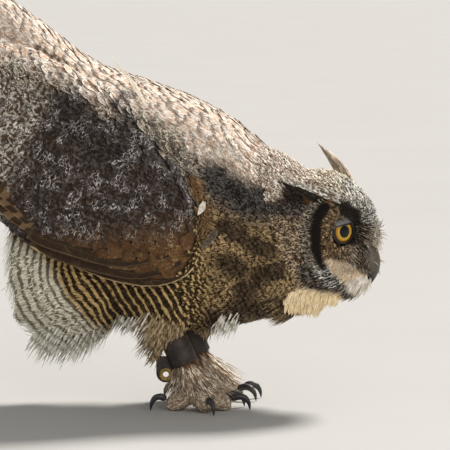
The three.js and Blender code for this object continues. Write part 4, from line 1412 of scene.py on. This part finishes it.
def make_coat(skin):
    p, facing = skin.points, skin.normals
    on_head, neck, breast, rump, vent, thigh, tarsus, foot, on_wing = (skin.part == k for k in PART.values())
    local = head_local(p)
    forward, aside, up = local.T
    aside = np.abs(aside)
    face = on_head & (disc_reach(local) < 1.12) & (forward > -5)
    eye_gap = np.min([np.linalg.norm(p - eye_ball(s)[0], axis=1) - eye_ball(s)[1] for s in SIDES], 0)
    chin = on_head & (up < -36) & (forward > 8) & ~face
    lores = on_head & (forward > 39) & (aside > 6) & (np.abs(up + 6) < 20)
    bare = on_head & (forward > 43) & (up < -25) & (up > -44) & (aside < 14)
    throat = (on_head | neck) & shown(skin, THROAT_LINE, 9) & (facing[:, 2] < -0.1)
    x, y, z = p.T
    level = trunk_level(p)
    trunk = neck | breast | rump
    belly = trunk & (level < 0.42) & (x < 232)
    front = trunk & ~belly & (level < 0.66) & (x > 190)
    back = trunk & ~belly & ~front
    scapulars = (back | on_wing) & shown(skin, SCAPULAR_LINE, 9)
    chest = shown(skin, [(284, 300), (294, 312)], 7) & (facing[:, 2] < 0.2)
    under = [trunk & (x > 220) & (x < 242) & (facing[:, 2] < -0.75),
             (trunk | vent) & (x > 92) & (x < 150) & (facing[:, 2] < -0.8) & (z < 105),
             vent & (x > 40) & (x < 112) & (facing[:, 2] < -0.45) & (z < 90)]
    rear = thigh & (facing[:, 0] < 0.1) & (z < 104)

    def tracts(coat, *rows):
        """Grows rows of: where, shape, spacing, length, width and lift of the tip, then turn and tilt."""
        for row in rows:
            grow(coat, *row)

    def fringe(coat, *rows):
        """Hangs rows of: where, spacing, reach, width and tone."""
        for where, spacing, reach, width, tone in rows:
            strands(coat, where, WISP, spacing, reach, width, 0.04, tone)

    head = Coat("coat_head", "plumage_head", skin)
    tracts(head, (on_head & ~face & ~chin & ~bare, SMALL, 2.4, 9, 3.6, 1.8),
           (chin & ~bare, WISP, 2.4, 13, 2.8, 4.5),
           (face & (eye_gap > 1.0) & ~bare, NEEDLE, 1.5, 9, 1.3, 2.4))
    face_bristles(head, lores & (eye_gap > 2.0))
    far_bristles(head, lores & (forward > 50) & (aside < 15) & (up > -28))
    strands(head, throat, WISP, 1.7, drifting((-0.45, 0.3), (-0.125, 0.25), (-0.9, 0), (8, 5)), 3.2,
            0.05, "throat", shade=0.1)
    ear_tufts(head)
    body = Coat("coat_body", "plumage_body", skin)
    tracts(body, (back, PLUME, 5.6, 30, 11, 1.8, 6, 0.4),
           (scapulars, SCAPULAR, 6.5, 34, 16, 3.6, 6, 0.6),
           (front, PLUME, 4.4, 20, 7.0, 2.6, 14),
           (front, WISP, 3.8, 18, 3.0, 3.2, 16),
           (belly, PLUME, 4.4, 20, 7.0, 2.6, 8),
           (belly, WISP, 3.8, 18, 2.8, 3.2, 10))
    strands(body, chest, WISP, 2.2, drifting((-1.0, 0.2), (-0.1, 0.2), (-0.62, 0.2), (18, 9)), 3.4,
            0.04, "blotch", tip="breast")
    loose = Coat("coat_vent", "plumage_loose", skin)
    tracts(loose, (vent, WISP, 3.0, 30, 5.0, 4.0, 14),
           (vent, WISP, 4.4, 40, 2.4, 11.0, 22))
    fringe(loose, (under[0], 3.2, hanging(17, 0.5), 3.0, "fluff"),
           (under[1], 3.0, hanging(17), 2.6, "fluff"),
           (under[2], 3.4, hanging(26, 0.5), 2.2, "fluff"))
    legs = Coat("coat_legs", "plumage_leg", skin)
    tracts(legs, (thigh, WISP, 2.4, 18, 3.2, 4.0, 14),
           (tarsus, WISP, 2.1, 9, 2.4, 2.0, 10),
           (foot, SMALL, 1.8, 5.0, 1.8, 0.9, 12))
    foot_skirts(legs, tarsus & (z < 52))
    garter_feathers(legs, tarsus & (z > 44) & (z < 56) & (facing[:, 0] > -0.3))
    fringe(legs, (thigh & (y > 0) & (facing[:, 0] > 0.2) & (z > 76), 3.0, hanging(20, 0.1), 3.0, "fluff"),
           (rear, 2.6, hanging(20, 0.45), 3.0, "leg"),
           (rear & (facing[:, 0] < -0.4), 3.6, hanging(22), 2.4, "fluff"))
    wing = Coat("coat_wings", "plumage_wing", skin)
    tracts(wing, (on_wing, COVERT, 8.0, 28, 17, 1.7, 6, 0.5))
    edge_feathers(wing)
    quills = Coat("flight_coat", "flight_feathers", skin)
    flight_feathers(quills)
    tail = Coat("tail_coat", "flight_feathers", skin)
    tail_feathers(tail)
    down = plumage("down", streak=1.3, run=(1.2, 0.4))
    quill = plumage("quill", shaft=0.5)
    head.make(plumage("face", thread=0.36, speck=0.30, run=(1.3, 0.7)), "ear_tuft_left", "ear_tuft_right")
    body.make(plumage("feather", thread=0.5, speck=0.5, run=(1.1, 0.5)))
    loose.make(down)
    legs.make(down)
    wing.make(plumage("covert", shaft=0.1, clump=0.47))
    quills.make(quill, "flight_feathers_left", "flight_feathers_right")
    tail.make(quill, "tail")


def dress_skin(skin, material):
    values = paint_of(skin.points, skin.part)
    vane = np.tile([0.0, 0.5, 0.0], (len(values), 1))
    flat = skin.points[:, [1, 0, 2]]
    dress(skin.object.data, values, vane, station(skin.points) / values[:, 12], flat)
    placed(skin.object, "plumage_body", material, *FLESH)


# ---- stage

TARGET = Vector(to_frame(AIM))
FLOOR = 40


def posted(name, data, way, place=(0, 0, 0), **settings):
    """A lamp or camera at place that looks along way."""
    turn = way.to_track_quat("-Z", "Y").to_euler()
    return tuned(linked(name, tuned(data, **settings)), location=place, rotation_euler=turn)


def make_stage():
    corners = to_plan([[x * FLOOR, y * FLOOR, 0] for x, y in ((-1, -1), (1, -1), (1, 1), (-1, 1))])
    floor = mesh_object("floor", corners, [0, 1, 2, 3], [4])
    floor.data.materials.append(floor_paint("floor"))

    world = bpy.data.worlds.new("studio")
    bpy.context.scene.world = world
    world.use_nodes = True
    world.node_tree.nodes["Background"].inputs["Color"].default_value = (0.98, 0.97, 0.95, 1)
    world.node_tree.nodes["Background"].inputs["Strength"].default_value = 0.40

    posted("key", bpy.data.lights.new("key", "SUN"), Vector((-0.50, -0.62, -0.95)),
           energy=4.4, angle=math.radians(14), color=(1.0, 0.96, 0.90))
    place = Vector((0.9, -2.4, 1.2))
    posted("fill", bpy.data.lights.new("fill", "AREA"), TARGET - place, place,
           energy=20, size=2.0, color=(1.0, 0.97, 0.92))
    bpy.context.scene.camera = posted(
        "camera", bpy.data.cameras.new("camera"), Vector(VIEW_ALONG),
        TARGET - Vector(VIEW_ALONG * VIEW_DISTANCE * MM), sensor_width=36, lens=240, clip_end=200)
    bpy.context.scene.view_settings.view_transform = "Standard"


# ---- the owl

def make_owl():
    skin = Skin()
    dress_skin(skin, plumage("skin"))
    make_coat(skin)
    iris, lids = eye_paint("iris"), lid_paint("eyelid")
    for side in SIDES:
        make_eye(side, iris)
        make_lids(side, lids)
    bill = horn("bill_horn", (0.19, 0.155, 0.11), (0.018, 0.014, 0.012), 126, 152)
    placed(horn_form("upper_bill_horn", CULMEN, TOMIUM, UPPER_HALF, 1.25), "bill", bill, "bill_upper")
    placed(horn_form("lower_bill_horn", LOWER_TOP, LOWER_KEEL, LOWER_HALF, 0.8), "bill", bill, "bill_lower")
    claw = horn("claw_horn", (0.055, 0.052, 0.052), (0.010, 0.010, 0.012), 2, 14)
    hide, metal = leather("leather"), brass("brass")
    for side in SIDES:
        for toe in ("hind", "inner", "middle", "outer"):
            node = f"talon_{toe}_{side}"
            placed(softened(f"{node}_horn", node), "claw", claw, node)
        placed(softened(f"anklet_{side}_strap", f"anklet_{side}", 0.4), "leather", hide, f"anklet_{side}")
        placed(softened(f"eyelet_{side}_ring", f"eyelet_{side}", 0.25), "brass", metal, f"eyelet_{side}")


make_owl()
make_stage()
